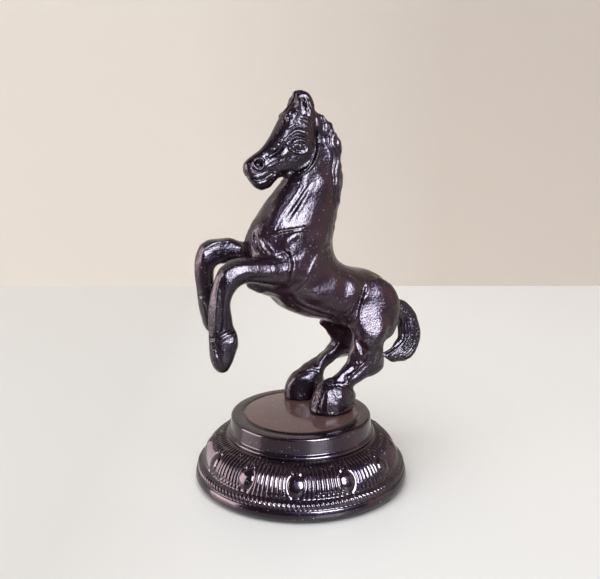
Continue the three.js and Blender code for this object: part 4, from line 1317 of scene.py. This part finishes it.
def makeSkirt():
    # one motif is spun and given its relief, and the others are copies of it
    rim, recess, top, hollow = skirt["rim"], skirt["recess"], skirt["top"], skirt["hollow"]
    profile = [rim, *archPoints(*skirt["bead"]), *archPoints(*skirt["rope"]), *archPoints(*skirt["band"]),
               top, (0, top[1]), (0, hollow[0][1]), *archPoints(*hollow), recess, (rim[0], recess[1]), rim]
    motif = wholeTurn / skirt["motifs"]
    bm = turned(profile, skirt["stepsPerMotif"], motif)
    reliefs = {keyOf(*point): (relief, step / moulding[-1])
               for moulding, relief in ((skirt["rope"], ropeRelief), (skirt["band"], bandRelief))
               for step, point in enumerate(archPoints(*moulding))}
    for vert in bm.verts:
        radius = math.hypot(vert.co.x, vert.co.y)
        found = reliefs.get(keyOf(radius, vert.co.z))
        if found:
            relief, share = found
            level = Vector((vert.co.x, vert.co.y, 0)).normalized()
            rise = float(relief(math.atan2(vert.co.y, vert.co.x), share, radius))
            grown = 1 + rise * vert.normal.dot(level) / radius
            vert.co = (vert.co.x * grown, vert.co.y * grown, vert.co.z + rise * vert.normal.z)
    first = [*bm.verts, *bm.edges, *bm.faces]
    for number in range(1, skirt["motifs"]):
        copy = bmesh.ops.duplicate(bm, geom=first)["geom"]
        bmesh.ops.rotate(bm, cent=(0, 0, 0), matrix=Matrix.Rotation(number * motif, 3, "Z"),
                         verts=[part for part in copy if isinstance(part, bmesh.types.BMVert)])
    bmesh.ops.remove_doubles(bm, verts=bm.verts, dist=2e-3)
    bmesh.ops.recalc_face_normals(bm, faces=bm.faces)
    return bm


def makeDrum():
    top, disc = drum["top"], drum["disc"]
    outer, inner = drum["topRadius"], drum["discRadius"]
    foot, seat, wall = drum["footRadius"], drum["seat"], drum["wall"]
    # disc, the ring round it, the rounded edge, the wall, the foot's bead and back inside
    profile = [(0, disc), (inner - 1.0, disc), (inner - 0.6, disc - 0.08), (inner - 0.3, disc - 0.3),
               (inner, top - 0.25), (inner + 0.35, top - 0.35), (inner + 0.8, top - 0.25),
               (inner + 1.2, top - 0.04), (inner + 1.6, top), (outer - 1.1, top), (outer - 0.6, top - 0.08),
               (outer - 0.2, top - 0.3), (outer - 0.02, top - 0.6), (outer + 0.06, top - 0.9),
               (outer + 0.09, top - 1.2), (foot - 0.79, seat + 2.3), (foot - 0.75, seat + 1.95),
               (foot - 0.6, seat + 1.7), (foot - 0.3, seat + 1.55), (foot + 0.1, seat + 1.3),
               (foot + 0.4, seat + 0.95), (foot + 0.4, seat + 0.5), (foot + 0.1, seat + 0.12),
               (foot - 0.1, seat), (foot - wall, seat), (outer - wall, top - wall), (0, top - wall)]
    return turned([*profile, profile[0]], drum["steps"])


def makePad():
    radius, thick = pad["radius"], pad["thickness"]
    profile = [(0, 0), (radius - 0.5, 0), (radius - 0.1, 0.12), (radius, 0.35), (radius, thick - 0.3),
               (radius - 0.2, thick - 0.05), (radius - 0.5, thick), (0, thick), (0, 0)]
    return turned(profile, pad["steps"])


standIn(toObject("skirt", makeSkirt(), baseLacquer), "lacquered_metal", "base_skirt")
standIn(toObject("drum", makeDrum(), drumLacquer), "lacquered_metal", "base_drum")
standIn(toObject("pad", makePad(), felt), "felt", "felt_pad")
print("base made")
for node in ("hoof_screw_left", "hoof_screw_right", "washer_left", "washer_right"):
    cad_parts[node].data.materials.clear()
    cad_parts[node].data.materials.append(zinc)


# Floor, wall, lights and camera

studio = {
    # each tint at the left and at the right of the picture, and where the one becomes the other; this is
    # painted light: the table top darker and the wall lighter towards the left, as the room's light falls on
    # them
    "floorTints": ((0.68, 0.672, 0.662), (0.838, 0.834, 0.83)),
    "floorFade": (-85.0, 10.0),          # in millimetres to the right of the horse's middle
    "wallTints": ((0.82, 0.745, 0.675), (0.68, 0.598, 0.532)),
    "wallFade": (-80.0, 110.0),
    "sideways": (0.891, -0.454, 0.0),    # to the right in the picture
    "roughness": 0.32,
    "floorShine": 0.3,
    "wallShine": 0.0,
    "floorHalf": 2.5,
    "floorFront": 0.42,      # the table's near edge, behind which the room is dim
    "wallDistance": 0.33,
    "wallHeight": 1.6,
    "turn": -27,             # degrees, so that the wall runs across the line of sight
    "middle": (0, 0, 0.08),
    "airTint": (1.0, 0.92, 0.90),
    "airStrength": 0.1,
}


def sheetPaint(name, tints, fade, specular):
    shader = Shader(name)
    across = shader.node("ShaderNodeVectorMath", {"operation": "DOT_PRODUCT"},
                         [shader.place(1.0), studio["sideways"]], output=1)
    left, right = ((*tint, 1) for tint in tints)
    # painted light: each sheet's tint fades across the picture, from its left tint to its right one
    shade = shader.blend(shader.ramp(across, *fade), left, right)
    return shader.close(shader.node("ShaderNodeBsdfPrincipled", None, {
        "Base Color": shade, "Roughness": studio["roughness"], "Specular IOR Level": specular}))


def sheet(name, corners, paint):
    bm = bmesh.new()
    bm.faces.new([bm.verts.new(corner) for corner in corners])
    bmesh.ops.rotate(bm, cent=(0, 0, 0), verts=bm.verts,
                     matrix=Matrix.Rotation(math.radians(studio["turn"]), 3, "Z"))
    mesh = written(bm, bpy.data.meshes.new(name))
    mesh.materials.append(paint)
    placed(name, mesh)


def makeStage():
    # a table top and, some way behind the horse, a plain wall across the line of sight
    half, front, back = studio["floorHalf"], studio["floorFront"], studio["wallDistance"]
    high = studio["wallHeight"]
    sheet("table_top", [(-half, -front, 0), (half, -front, 0), (half, back, 0), (-half, back, 0)],
          sheetPaint("pale table top", studio["floorTints"], studio["floorFade"], studio["floorShine"]))
    sheet("wall", [(-half, back, 0), (half, back, 0), (half, back, high), (-half, back, high)],
          sheetPaint("pale warm wall", studio["wallTints"], studio["wallFade"], studio["wallShine"]))


# each soft box's azimuth and elevation, its distance, width and height in metres, its watts and its tint
softBoxes = {
    "window": (-88, 30, 0.9, 0.46, 0.58, 43.0, (0.88, 1.0, 1.03)),
    "sky": (-92, 35, 1.25, 1.5, 0.8, 10.0, (0.66, 0.62, 1.0)),        # round the window
    "room": (-25, 18, 1.25, 1.1, 1.0, 5.0, (1.0, 0.68, 0.62)),
    "shelf": (157, 14, 1.25, 0.9, 0.8, 27.0, (1.0, 0.87, 0.88)),
    "ceiling": (-150, 55, 1.6, 2.3, 2.3, 43.0, (0.97, 0.985, 0.985)),
}


def makeSoftBox(name, azimuth, elevation, distance, width, height, power, tint):
    # a soft box that looks at the middle of the horse
    # the ceiling lights the stage and all else, and the others are only mirrored in the lacquer
    middle = Vector(studio["middle"])
    turn, rise = math.radians(azimuth), math.radians(elevation)
    away = Vector((math.cos(turn) * math.cos(rise), math.sin(turn) * math.cos(rise), math.sin(rise)))
    lamp = bpy.data.lights.new(name, "AREA")
    lamp.shape = "RECTANGLE"
    lamp.size = width
    lamp.size_y = height
    lamp.energy = power
    lamp.color = tint
    box = placed(name, lamp)
    box.location = middle + distance * away
    box.rotation_euler = away.to_track_quat("Z", "Y").to_euler()
    if name == "ceiling":
        box.visible_glossy = False
    else:
        box.visible_diffuse = False


def makeLights():
    for name, settings in softBoxes.items():
        makeSoftBox(name, *settings)
    world = bpy.data.worlds.new("room air")
    world.use_nodes = True
    air = world.node_tree.nodes["Background"]
    air.inputs["Color"].default_value = (*studio["airTint"], 1)
    air.inputs["Strength"].default_value = studio["airStrength"]
    bpy.context.scene.world = world
    bpy.context.scene.view_settings.view_transform = "Standard"


# fitted to the ellipses of the base in the photograph
lookout = {"lens": 51.0, "sensor": 36.0, "nearest": 0.01, "place": (-0.1442, -0.2823, 0.1530), "down": 13.55}


def makeCamera():
    view = bpy.data.cameras.new("camera")
    view.lens = lookout["lens"]
    view.sensor_width = lookout["sensor"]
    view.sensor_fit = "HORIZONTAL"
    view.clip_start = lookout["nearest"]
    camera = placed("camera", view)
    camera.location = lookout["place"]
    camera.rotation_euler = (math.radians(90 - lookout["down"]), 0, math.radians(studio["turn"]))
    bpy.context.scene.camera = camera


makeStage()
makeLights()
makeCamera()
print("stage made")
